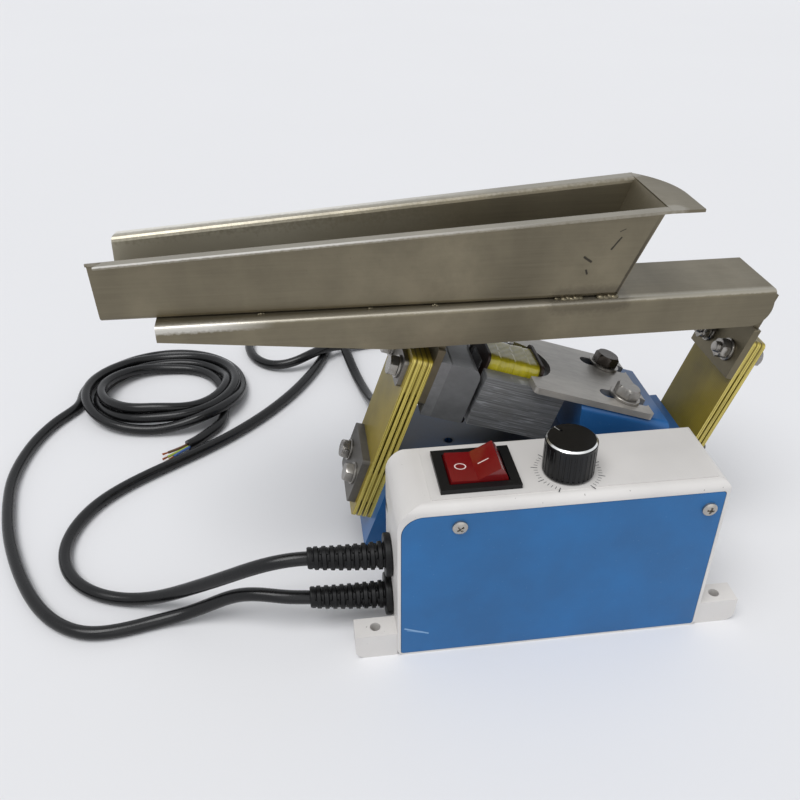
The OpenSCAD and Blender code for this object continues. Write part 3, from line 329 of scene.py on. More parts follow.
def metal(name, base, roughness, grain=(60, 900, 900), stain=0.25, matrix=None, metallic=0.9):
    """Sheet metal: fine lines drawn along the grain, cloudy stains and a few bright scratches."""
    finish = Finish(name, base, roughness, metallic, matrix)
    lines = finish.noise(grain, 3, 0.6)
    cloud = finish.noise(22, 4, 0.6, 0.4)
    scratch = finish.noise((40, 900, 260), 2, 0.4, 1.6)
    finish.paint(1 - stain, (cloud, 0.35, 0.7, 1.06), (lines, 0.3, 0.7, 1.18, 0.35),
                 (scratch, 0.7, 0.76, 1.5, 0.45))
    finish.uneven(cloud, 0.07, 0.12, 0.75)
    finish.bump(lines, 0.00006, 0.35)
    return finish


def sheet_steel(name, base, marks=()):
    """Mill-finish stainless: broad soft bands of painted reflection across the length, clouds,
    faint rolling lines and pits.
    """
    finish = Finish(name, base, 0.34, 0.62)
    # the bands are light streaks across the length: painted reflection
    bands = finish.noise((24, 6, 10), 3, 0.5, 0.5)
    cloud = finish.noise(55, 5, 0.62)
    lines = finish.noise((30, 1100, 1100), 3, 0.6)
    pits = finish.noise(1300, 2, 0.5)
    body = finish.layers(0.76, (bands, 0.32, 0.68, 1.26), (cloud, 0.36, 0.66, 0.78, 0.7),
                         (lines, 0.35, 0.7, 1.3, 0.2), (pits, 0.7, 0.78, 0.45, 0.3))
    finish.set("Base Color", finish.marks(body, marks))
    finish.set("Roughness", finish.math("ADD", finish.spread(cloud, 0.3, 0.75, 0, 0.12),
                                        finish.spread(bands, 0.3, 0.7, 0.34, 0.26)))
    finish.bump(finish.math("ADD", lines, cloud), 0.00008, 0.3)
    return finish


def moulded(name, base, roughness=0.45, grain=2600, depth=0.00002, **sockets):
    """Moulded plastic or rubber: an even fine grain and a faint change of tone."""
    finish = Finish(name, base, roughness, **sockets)
    cloud = finish.noise(18, 3)
    finish.paint(0.9, (cloud, 0.3, 0.7, 1.06))
    finish.uneven(cloud, 0.04, 0.06)
    finish.bump(finish.noise(grain, 2), depth, 0.5)
    return finish


def painted(name, base, roughness=0.32, peel=420, marks=(), shaded_top=None):
    """Sprayed paint: orange peel, a little dust and paler rubbed patches.

    The last argument is a height and a length: the top faces below and before them are darkened to slate
    grey, a painted shade.
    """
    finish = Finish(name, base, roughness, specular_ior_level=0.4, coat_weight=0.12, coat_roughness=0.2)
    cloud = finish.noise(26, 4, 0.6)
    body = finish.layers(0.86, (cloud, 0.35, 0.7, 1.1),
                         (finish.noise(900, 2), 0.68, 0.8, srgb(120, 150, 185), 0.25))
    if shaded_top:
        # painted shade: the top faces below the height and before the length are darkened to slate grey
        place, (level, front) = finish.place(), shaded_top
        painted_shade = finish.product(finish.spread(finish.axis(place, 2), level, level + MM, 1, 0),
                               finish.spread(finish.axis(place, 0), front - 6 * MM, front + 6 * MM, 1, 0),
                               finish.spread(finish.axis(finish.normal(), 2), 0.5, 0.8, 0, 1),
                               finish.spread(cloud, 0.25, 0.6, 1, 0.75))
        body = finish.mix(painted_shade, body, srgb(52, 53, 60))
    finish.set("Base Color", finish.marks(body, marks))
    finish.uneven(cloud, 0.05, 0.1)
    finish.bump(finish.noise(peel, 2), 0.00006, 0.4)
    return finish


def laminate(name, base, edge, matrix):
    """Glass-fibre sheet: a mottled resin face with a faint cloth weave, and layered cut edges."""
    finish = Finish(name, base, 0.38, 0.0, matrix, specular_ior_level=0.35, coat_weight=0.1,
                    coat_roughness=0.25)
    cloud = finish.noise(45, 4, 0.6)
    stain = finish.noise((30, 24, 16), 4, 0.6, 0.8)
    streak = finish.noise((5200, 300, 25), 3, 0.65)
    weave = finish.product(*(finish.node("TexWave", {"Vector": finish.coords(), "Scale": 380},
                                         bands_direction=way).outputs["Fac"] for way in "YZ"))
    face = finish.layers(0.72, (cloud, 0.3, 0.72, 1.2), (weave, 0, 1, edge, 0.14),
                         (stain, 0.5, 0.72, srgb(104, 76, 30), 0.7))
    side = finish.spread(finish.math("ABSOLUTE", finish.axis(finish.normal(), 1)), 0.5, 0.8, 0, 1)
    finish.set("Base Color", finish.mix(side, face, finish.layers(0.6, (streak, 0.34, 0.56, edge))))
    finish.bump(streak, 0.00008, 0.4)
    return finish


def laminations(name, base, matrix):
    """Stacked core sheets: fine joints across the stack, bright ground streaks, varnish and stains."""
    finish = Finish(name, base, 0.42, 0.35, matrix, coat_weight=0.2, coat_roughness=0.3)
    sheets = finish.noise((25, 25, 2400), 2, 0.7)
    ground = finish.noise((90, 60, 1500), 3, 0.6)
    cloud = finish.noise(60, 4, 0.65)
    finish.paint(0.55, (sheets, 0.35, 0.65, 1.15), (ground, 0.56, 0.72, srgb(188, 190, 194), 0.7),
                 (cloud, 0.5, 0.8, srgb(112, 108, 102), 0.5))
    finish.uneven(cloud, 0.1, 0.13)
    finish.bump(sheets, 0.00012, 0.6)
    return finish


def sheathed(name, base, roughness=0.24):
    """Extruded cord sheath: glossy, with faint lengthwise waves."""
    finish = Finish(name, base, roughness, specular_ior_level=0.3, coat_weight=0.12, coat_roughness=0.12)
    cloud = finish.noise(120, 3)
    finish.set("Base Color", finish.mix(cloud, 0.7, 1.3))
    finish.uneven(cloud, 0.06, 0.1)
    finish.bump(finish.noise(160, 2), 0.0002, 0.15)
    return finish


def knob_finish(name, base, centre, rim_z, rim_r, pointer_deg=120):
    """Black knob with a thin bright turned rim, a face turned in rings and a pale pointer."""
    finish = Finish(name, base, 0.26, specular_ior_level=0.3)
    place = finish.node("Mapping", {"Vector": finish.place(),
                                    "Location": tuple(-value for value in centre)}).outputs[0]
    x, y, z = (finish.axis(place, k) for k in range(3))
    reach = finish.math("SQRT", finish.math("ADD", finish.product(x, x), finish.product(y, y)))
    rim = finish.product(finish.math("GREATER_THAN", reach, rim_r - 0.85 * MM),
                         finish.math("GREATER_THAN", z, rim_z - 0.75 * MM),
                         finish.math("LESS_THAN", z, rim_z - 0.04 * MM))
    grain = finish.noise((900, 900, 60), 3)
    rings = finish.math("SINE", finish.product(reach, 2 * math.pi / (0.5 * MM)))
    turn = math.radians(pointer_deg)
    way, tip = np.array([math.cos(turn), math.sin(turn), 0]), np.array([centre[0], centre[1], rim_z])
    pointer = finish.stroke(tip + way * (rim_r - 3.2 * MM), tip + way * (rim_r - 1.0 * MM), 0.5 * MM,
                            squeeze=(1, 1, 0.5))
    dark = finish.mix(pointer, finish.layers(0.9, (grain, 0.3, 0.7, 1.1)), srgb(190, 190, 186))
    finish.set("Base Color", finish.mix(rim, dark, srgb(235, 235, 233)))
    finish.set("Metallic", rim)
    finish.uneven(grain, 0.04, 0.01)
    finish.bump(rings, 0.00001, 0.5)
    return finish


# ---- Surfaces

class Pile:
    """Gathers grids of points into one mesh."""

    def __init__(self):
        self.points, self.faces, self.count = [], [], 0

    def grid(self, points, around=True, along=False, matrix=None):
        """Joins points[row, column] to their neighbours. Columns run round and rows run along."""
        if matrix is not None:
            turn = np.array(matrix)
            points = points @ turn[:3, :3].T + turn[:3, 3]
        rows, columns = points.shape[:2]
        index = self.count + np.arange(rows * columns).reshape(rows, columns)
        first, last = index[0], index[-1]
        if along:
            index = np.vstack([index, index[:1]])
        if around:
            index = np.hstack([index, index[:, :1]])
        corners = [index[:-1, :-1], index[:-1, 1:], index[1:, 1:], index[1:, :-1]]
        self.faces += np.stack(corners, -1).reshape(-1, 4).tolist()
        if around and not along:
            self.faces += [first[::-1].tolist(), last.tolist()]
        self.points.append(points.reshape(-1, 3))
        self.count += rows * columns
        return self

    def make(self, name, material, body=None, smooth=40):
        """Makes the mesh object. On a body its faces are turned outwards and it rides there."""
        mesh = bpy.data.meshes.new(name)
        mesh.from_pydata(np.concatenate(self.points).tolist(), [], self.faces)
        if body:
            shell = bmesh.new()
            shell.from_mesh(mesh)
            bmesh.ops.remove_doubles(shell, verts=shell.verts, dist=1e-7)
            bmesh.ops.recalc_face_normals(shell, faces=shell.faces)
            shell.to_mesh(mesh)
            shell.free()
        mesh.materials.append(material)
        made = show(name, mesh)
        if smooth:
            mesh.shade_smooth()
            mesh.set_sharp_from_angle(angle=math.radians(smooth))
        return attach(made, body) if body else made


def show(name, data):
    """Makes an object of some data in the scene."""
    made = bpy.data.objects.new(name, data)
    bpy.context.scene.collection.objects.link(made)
    return made


def circle(count):
    """Evenly spaced angles round one turn."""
    return np.linspace(0, 2 * np.pi, count, endpoint=False)


def span(points):
    """Low corner, high corner and middle of some points."""
    low, high = points.min(0), points.max(0)
    return low, high, (low + high) / 2


def lathe(profile, sides=48, radius=None):
    """Points of a turned shape about Z: each [r, z] of the profile is carried round a full circle.

    radius(r, z, angle) may change r from place to place, for flats, ribs and bridges.
    """
    profile = np.array(profile, float)
    angle = circle(sides)
    r, z = profile[:, :1] + 0 * angle, profile[:, 1:] + 0 * angle
    if radius:
        r = radius(r, z, angle + 0 * r)
    return np.stack([r * np.cos(angle), r * np.sin(angle), z], -1)


def hex_radius(flats):
    """A hexagon's radius at an angle: half its flats over the cosine of the turn from the nearest one."""
    def radius(r, z, angle):
        near = np.mod(angle + np.pi / 6, np.pi / 3) - np.pi / 6
        return np.minimum(r, flats / 2 / np.cos(near))
    return radius


def along_axis(point, direction):
    """Matrix that stands Z along a direction at a point."""
    turn = Vector(direction).to_track_quat("Z", "Y").to_matrix().to_4x4()
    return Matrix.Translation(Vector(point)) @ turn


def hex_head(pile, matrix, flats, height):
    """Hexagon head: six flats cut off by a chamfer cone on top and a smaller one below."""
    corner = flats / 2 / math.cos(math.pi / 6)
    profile = [[flats * 0.3, 0], [flats * 0.46, 0], [flats * 0.5, 0.15 * MM], [corner, 0.15 * MM],
               [corner, height * 0.78], [flats * 0.475, height], [flats * 0.30, height],
               [0.02 * MM, height * 0.985]]
    pile.grid(lathe(profile, 72, hex_radius(flats)), matrix=matrix)


def bolt(pile, under, out, flats, height, diameter, end, pitch, turn=0.0):
    """Hexagon bolt from under its head: the head goes out and the threaded shank goes back."""
    hex_head(pile, along_axis(under, out) @ Matrix.Rotation(turn, 4, "Z"), flats, height)
    threaded_shank(pile, along_axis(under, -out), diameter, end, pitch)


def threaded_shank(pile, matrix, diameter, end, pitch):
    """Shank whose radius waves once per pitch, like a rolled thread, with a chamfered tip."""
    z = np.linspace(0, end, max(8, int(end / pitch * 6)))
    r = diameter / 2 - 0.24 * pitch + 0.24 * pitch * np.cos(2 * np.pi * z / pitch)
    r[-4:] -= np.linspace(0, 0.35 * MM, 4)
    pile.grid(lathe(np.stack([r, z], -1), 28), matrix=matrix)


def hex_ring(pile, matrix, flats, bore, height):
    """Nut: a chamfered hexagon about a round bore, as one closed loop of the section."""
    corner = flats / 2 / math.cos(math.pi / 6)
    profile = [[bore, 0], [flats * 0.47, 0], [corner, height * 0.14], [corner, height * 0.86],
               [flats * 0.47, height], [bore, height]]
    pile.grid(lathe(profile, 72, hex_radius(flats)), along=True, matrix=matrix)


def round_ring(pile, matrix, outer, bore, height):
    """Washer: a flat ring with slightly rounded stamped edges."""
    edge = 0.15 * MM
    profile = [[bore, 0], [outer - edge, 0], [outer, edge], [outer, height - 1.5 * edge],
               [outer - 1.5 * edge, height], [bore, height]]
    pile.grid(lathe(profile, 64), along=True, matrix=matrix)


def ring_place(points, matrix, axis):
    """Frame at the low end of a CAD ring that stands along an axis of a matrix, and its size there."""
    low, high, middle = span(points)
    middle[axis] = low[axis]
    return along_axis(matrix @ Vector(middle), matrix.to_3x3().col[axis]), high - low


# ---- Cords

def smooth_route(points, step):
    """Catmull-Rom curve through all the points, sampled about every step."""
    points = np.array(points, float)
    ends = [2 * points[0] - points[1], 2 * points[-1] - points[-2]]
    points = np.vstack([ends[:1], points, ends[1:]])
    out = []
    for a, b, c, d in zip(points, points[1:], points[2:], points[3:]):
        t = np.linspace(0, 1, max(2, int(np.linalg.norm(c - b) / step) + 1), endpoint=False)[:, None]
        out.append(0.5 * (2 * b + (c - a) * t + (2 * a - 5 * b + 4 * c - d) * t ** 2
                          + (3 * b - 3 * c + d - a) * t ** 3))
    return np.vstack([*out, points[-2:-1]])


def eased(route, reach):
    """Takes small kinks out of a route: each point becomes a bell-weighted mean of its neighbours."""
    window = np.hanning(2 * reach + 3)[1:-1]
    window /= window.sum()
    head, tail = 2 * route[0] - route[reach:0:-1], 2 * route[-1] - route[-2:-reach - 2:-1]
    line = np.vstack([head, route, tail])
    return np.stack([np.convolve(line[:, k], window, mode="valid") for k in range(3)], -1)


def cord_route(points, reach, step=1.6 * MM):
    """Centre line in metres through points in millimetres, eased over a number of steps either way."""
    return eased(smooth_route(np.array(points) * MM, step), reach)


def cord_curve(name, route, diameter, material):
    """Round cord along one open line of points."""
    data = bpy.data.curves.new(name, "CURVE")
    data.dimensions = "3D"
    data.bevel_depth = diameter / 2
    data.bevel_resolution = 5
    data.use_fill_caps = True
    spline = data.splines.new("POLY")
    spline.points.add(len(route) - 1)
    spline.points.foreach_set("co", np.hstack([route, np.ones((len(route), 1))]).ravel())
    spline.use_smooth = True
    data.materials.append(material)
    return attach(show(name, data), "base")


FLOOR_CORD_Z = 3  # height of the centre line of a cord on the floor, in millimetres


def supply_points(sizes):
    """From the boot along the floor to the left side of the coil, in millimetres."""
    tip, y, z = sizes.boot_tip_x / MM, sizes.boot_y / MM, sizes.supply_z / MM
    floor = ((-160, -47), (-174, -50), (-188, -50), (-201, -43), (-212, -31), (-221, -16), (-229, 1),
             (-236, 20), (-241, 40), (-244, 60), (-243, 80), (-239, 98), (-232, 114))
    return [[tip + sizes.socket / MM, y, z + 1.6], [tip - 2, y, z + 2.2], [-104, y, z + 3.3],
            [-114, -52.5, 18.6], [-125, -49, 16], [-136, -47, 10], [-147, -46, 5], *on_floor(floor)]


def on_floor(places):
    """Points of a cord that lies on the floor, in millimetres."""
    return [[x, y, FLOOR_CORD_Z] for x, y in places]


COIL_MIDDLE = (-174, 137)
COIL_START = 190
# Stations of the coil: turned angle in degrees, radius and height in millimetres. The strands lie
# spread at the back, stacked at the front, and lifted over the tail at the front right.
COIL_STATIONS = [
    (0, 49, 3), (100, 47, 3), (190, 46.2, 3), (220, 47, 9), (245, 46.4, 9.6), (280, 39.4, 3),
    (325, 43, 5.4), (370, 45, 8.8), (460, 41, 3.2), (550, 43, 8.8), (595, 41.6, 9.6), (640, 35, 9),
    (685, 36, 6), (730, 39.2, 3.1), (820, 34, 3.2), (880, 38, 3.2), (908, 37.6, 8.6), (955, 35.8, 9.2),
    (1000, 30.5, 13), (1090, 36.5, 9.5), (1180, 27, 3.2), (1270, 33.5, 3.1), (1296, 42, 3)]
TAIL_POINTS = [[-139, 99.5, 3.2], [-145, 92, 3], [-150.5, 84.5, 3], [-156, 80.2, 3]]


def coil_points(per_turn):
    """Clockwise turns: radius and height run smoothly from station to station as the angle grows."""
    angle, radius, height = np.array(COIL_STATIONS, float).T
    fine, reach = np.arange(angle[0], angle[-1] + 0.5, 1.0), 20
    window = np.hanning(2 * reach + 1)
    window /= window.sum()

    def smoothed(values):
        line = np.interp(fine, angle, values)
        return np.convolve(np.pad(line, reach, mode="edge"), window, mode="valid")
    at = np.linspace(angle[0], angle[-1], int(angle[-1] / 360 * per_turn))
    r, z = (np.interp(at, fine, smoothed(values)) for values in (radius, height))
    turn, (x, y) = np.radians(COIL_START - at), COIL_MIDDLE
    return np.stack([x + r * np.cos(turn), y + r * np.sin(turn), z], -1).tolist()


def magnet_points(sizes):
    """From the upper boot over the floor, round two loose loops and up to the gland, in millimetres."""
    tip, y, z = sizes.boot_tip_x / MM, sizes.boot_y / MM, sizes.magnet_z / MM
    gland_x, gland_y, gland_z = sizes.gland_x / MM, sizes.gland_tip_y / MM, sizes.gland_z / MM
    front = ((-172, -33), (-185, -29), (-196, -21), (-204, -9), (-207, 6), (-204, 22), (-196, 37),
             (-183, 50), (-168, 61), (-152, 72), (-136, 84), (-121, 98), (-107, 114), (-95, 131),
             (-85, 149), (-77, 168), (-74, 187), (-79, 205), (-92, 218), (-109, 219), (-121, 207),
             (-125, 190), (-121, 172))
    back = ((-36, 183), (-19, 192), (-11, 208), (-18, 225), (-34, 233))
    return [
        [tip + sizes.socket / MM, y, z + 1.6], [tip - 2, y, z + 2.2], [-105, y, z + 1.6],
        [-116, -53, 34.2], [-130, -48, 25], [-145, -42, 15], [-159, -37, 7], *on_floor(front),
        [-110, 160, 3.6], [-96, 157, 6.4], [-83, 163, 9.4], [-70, 173, 7.4], [-54, 180, 3.4],
        *on_floor(back), [-51, 228, 4], [-62, 213, 6], [-66, 195, 10], [-65, 176, 13.4],
        [-62, 158, 9], [-58, 140, 4], [-54, 120, 4], [-51, 101, 8], [-48, 83, 16], [-45, 67, 26],
        [-43, 54, 33], [gland_x, gland_y + 2, gland_z], [gland_x, gland_y - sizes.socket / MM, gland_z]]


class FEEDER_OT_cords(bpy.types.Operator):
    """Supply cord with its coil and stripped end, and the cord from the box to the magnet"""
    bl_idname = "feeder.cords"
    bl_label = "Cords"

    def execute(self, context):
        colours, sizes = context.scene.feeder_colours, context.scene.feeder_sizes
        sheath = sheathed("cord sheath", colours.rubber).material
        coiled = supply_points(sizes) + coil_points(sizes.points_per_turn) + TAIL_POINTS
        route = cord_route(coiled, 7)
        supply = cord_curve("supply_cord", route, sizes.cord_diameter, sheath)
        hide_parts("mains_cord", "mains_coil", "mains_tail")
        ends = self.cores()
        route = cord_route(magnet_points(sizes), 10)
        magnet = cord_curve("magnet_cord", route, sizes.cord_diameter, sheath)
        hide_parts("output_cord")
        return {"FINISHED"}

    def cores(self):
        """Three insulated cores fanned out of the sheath, each with a stub of bare strands."""
        low, last = np.array(TAIL_POINTS[-2]), np.array(TAIL_POINTS[-1])
        ahead = (last - low) / np.linalg.norm(last - low)
        side = np.array([-ahead[1], ahead[0], 0])
        cores = ((0, "earth_core", srgb(150, 165, 60)), (-1, "neutral_core", srgb(90, 60, 40)),
                 (1, "live_core", srgb(60, 90, 150)))
        sleeves, strands = [], Pile()
        for k, name, tone in cores:
            t = np.linspace(-1.5, 13 - 2 * abs(k), 12)[:, None]
            line = last + ahead * t + side * (1.5 * k + 0.010 * k * np.maximum(t, 0) ** 2)
            line[:, 2] = 2.1 + 0.5 * abs(k)
            pile = Pile().grid(tube(line * MM, 0.75 * MM, 14))
            sleeves.append(pile.make(name, moulded("sleeve " + name, tone, 0.4).material, "base"))
            onward = (line[-1] - line[-2]) / np.linalg.norm(line[-1] - line[-2])
            for turn in circle(5):
                off = 0.28 * (side * np.cos(turn) + np.array([0, 0, np.sin(turn)]))
                s = np.linspace(-0.5, 3.2, 5)[:, None]
                strands.grid(tube((line[-1] + onward * s + off * (1 + 0.25 * s)) * MM, 0.16 * MM, 6))
        copper = metal("copper strands", srgb(196, 120, 78), 0.35)
        bare = strands.make("core_strands", copper.material, "base")
        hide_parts("mains_cores")
        return [*sleeves, bare]


def tube(line, radius, sides):
    """Rings of points about a line: each ring stands square to the line's direction at its place."""
    line = np.array(line, float)
    ahead = np.gradient(line, axis=0)
    ahead /= np.linalg.norm(ahead, axis=1)[:, None]
    side = np.cross([0, 0, 1.0], ahead)
    side /= np.maximum(np.linalg.norm(side, axis=1)[:, None], 1e-9)
    up = np.cross(ahead, side)
    angle = circle(sides)[None, :, None]
    radius = np.array(radius, float).reshape(-1, 1, 1)
    return line[:, None] + radius * (np.cos(angle) * side[:, None] + np.sin(angle) * up[:, None])


# ---- Tray, springs, magnet and base

BORE = 0.51  # of a washer or nut, as a radius over the diameter of its bolt
FADING = {"squeeze": (1, 1, 1), "fade": True}
# Scratches on the trough's near wall, above the main weld: start, end and width in millimetres.
SCRATCHES = [((34.4, -15.5, 153), (31.2, -15.4, 148.2), 0.5),
             ((21, -14.8, 145.2), (23.8, -14.6, 143.2), 0.7),
             ((22.4, -14.3, 139.4), (22.9, -14.2, 138), 0.6),
             ((33.5, -15.6, 155.5), (35.5, -15.7, 156.5), 0.35)]
# Weld beads: place of the first drop along X, number of drops and their radius, in millimetres.
BEADS = [(35.5, 4, 2.1), (21.5, 5, 1.9), (13, 2, 1.1), (-36, 3, 0.9), (-62, 2, 0.8), (-104, 3, 0.9)]
FLOOR_ENDS, FLOOR_HALVES = (-165, 36.5), (9.75, 13.75)  # half width of the trough's floor at two places


class FEEDER_OT_tray(bpy.types.Operator):
    """Stainless finish of the trough, channel and brackets, and the weld beads between them"""
    bl_idname = "feeder.tray"
    bl_label = "Tray"

    def execute(self, context):
        steel = context.scene.feeder_colours.steel
        bright, scorch = srgb(240, 237, 230), srgb(66, 58, 48)
        (near, near_end), (far, far_end) = self.lip_edge(-1), self.lip_edge(1)
        inward = np.array([0, 2.2, 0])
        # the lips carry painted highlights along their edges, the far wall is paler inside near the
        # discharge end, and the sheet is scorched at the main weld and at the rear wall's seam
        # the first four marks are painted highlights on the lips
        marks = [(near + inward, near_end + inward, 4.5, bright, 0.16, {"squeeze": (1, 1, 2)}),
                 (near, near + 0.8 * (near_end - near), 0.62, bright, 0.8, FADING),
                 (far - inward, far_end - inward, 4.5, bright, 0.2, {"squeeze": (1, 1, 2)}),
                 (far, far + 0.75 * (far_end - far), 3.2, bright, 0.95, FADING),
                 ((-168, 11, 140), (-20, 13, 145), 17, srgb(206, 200, 182), 0.55, FADING),
                 *((start, end, width, srgb(38, 33, 28), 0.9) for start, end, width in SCRATCHES),
                 ((14, -13.6, 127.6), (37, -13.8, 127.8), 5.5, scorch, 0.4),
                 ((36.6, -14.2, 129), (49.6, -16.8, 164), 0.8, srgb(46, 40, 33), 0.75, {"fade": True})]
        sheet_steel("brushed sheet", steel, marks).on("trough")
        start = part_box("channel")[0].x / MM
        # the first two marks are painted highlights along the channel's near top fold, the third is
        # scorch at the main weld
        fold_highlights_and_scorch = [((start, -17.2, 126.8), (104, -17.2, 126.8), 0.9, srgb(205, 200, 188), 0.4),
                 ((start, -17.4, 126), (start + 45, -17.4, 126), 2.6, bright, 0.6, FADING),
                 ((13, -13.8, 127), (37, -14, 127), 6.5, scorch, 0.4)]
        sheet_steel("channel sheet", steel, fold_highlights_and_scorch).on("channel")
        plate = metal("bracket plate", tint(steel, 0.9), 0.42, (300, 300, 300))
        plate.on("front_bracket", "rear_bracket")
        self.welds(steel)
        return {"FINISHED"}

    def lip_edge(self, side):
        """Both ends of the outer edge of the lip on one side, from the trough's own corners, in mm."""
        points = np.concatenate(solids("trough")) / MM
        ends = []
        for part in (points[points[:, 0] < points[:, 0].min() + 8], points[points[:, 0] > 49]):
            reach = part[:, 1] * side
            edge = part[reach > reach.max() - 0.5]
            edge = edge[edge[:, 2] > edge[:, 2].max() - 0.3]
            ends.append(edge.mean(0))
        return np.array(ends)

    def welds(self, steel):
        """Short beads along the trough's foot: each is a row of overlapping flattened drops."""
        pile, foot = Pile(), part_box("trough")[0].z / MM
        theta = np.linspace(0.02, np.pi - 0.02, 9)
        drop = lathe(np.stack([np.sin(theta), -np.cos(theta)], -1), 16) * [1.0, 0.85, 0.6]
        for x, count, size in BEADS:
            edge = -np.interp(x, FLOOR_ENDS, FLOOR_HALVES) - 0.25 * size
            for k in range(count):
                place = [x - 0.85 * size * k, edge + 0.3 * math.sin(3 * x + 2 * k), foot + 0.2 * (k % 2)]
                pile.grid((drop * size + place) * MM)
        bead = metal("weld bead", steel, 0.3, grain=(900, 900, 900), stain=0.6)
        pile.make("weld_beads", bead.material, "tray")


class FEEDER_OT_springs(bpy.types.Operator):
    """Laminated leaves, their spacers and clamps, and all the bolts, nuts and washers on them"""
    bl_idname = "feeder.springs"
    bl_label = "Leaf springs"

    def execute(self, context):
        colours, sizes = context.scene.feeder_colours, context.scene.feeder_sizes
        for node, matrix in (("front_leaves", FRONT), ("rear_leaves", REAR)):
            laminate("laminate " + node, colours.laminate, colours.laminate_edge, matrix).on(node)
        laminate("spacer laminate", tint(colours.laminate, 0.4), tint(colours.laminate, 0.8),
                 FRONT).on("lower_spacers", "upper_spacers")
        metal("clamp plate", tint(colours.plate, 0.62), 0.4, (300, 300, 300), 0.4).on(
            "front_clamp_plate", "rear_clamp_plate")
        metal("clamp bar", tint(colours.plate, 0.4), 0.42, (300, 300, 300), 0.5, metallic=0.7).on(
            "front_clamp_bar", "rear_clamp_bar")
        zinc = metal("dulled zinc", tint(colours.plate, 0.95), 0.27, (700, 700, 700), 0.45).material
        for level, body in (("upper", "tray"), ("lower", "base")):
            self.bolts(level, body, sizes, zinc)
        return {"FINISHED"}

    def bolts(self, level, body, sizes, zinc):
        """Chamfered heads and threaded shanks where the CAD bolts of one level stand."""
        bolts, rings, bore = Pile(), Pile(), sizes.bolt_diameter * BORE
        for matrix, outer in ((FRONT, -1), (REAR, 1)):
            out = matrix.to_3x3().col[0] * outer
            for points in self.near(level + "_bolts", matrix):
                low, high, middle = span(points)
                head = (low if outer < 0 else high)[0] - outer * sizes.head_height
                under = matrix @ Vector((head, *middle[1:]))
                bolt(bolts, under, out, sizes.bolt_flats, sizes.head_height, sizes.bolt_diameter,
                     head - low[0] if outer > 0 else high[0] - head, sizes.thread_pitch)
            for points in self.near(level + "_washers", matrix):
                place, size = ring_place(points, matrix, 0)
                round_ring(rings, place, size[1] / 2, bore, size[0])
        made = [bolts.make(level + "_spring_bolts", zinc, body)]
        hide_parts(level + "_bolts")
        made.append(rings.make(level + "_spring_washers", zinc, body))
        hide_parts(level + "_washers")
        if level == "upper":
            nuts = Pile()
            for points in solids("upper_nuts", REAR):
                place, size = ring_place(points, REAR, 0)
                hex_ring(nuts, place, sizes.bolt_flats, bore, size[0])
            made.append(nuts.make("spring_nuts", zinc, body))
            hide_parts("upper_nuts")

    def near(self, node, matrix):
        """The node's solids that belong to the pack of this matrix."""
        return [points for points in solids(node, matrix) if abs(points[:, 0].mean()) < 0.03]


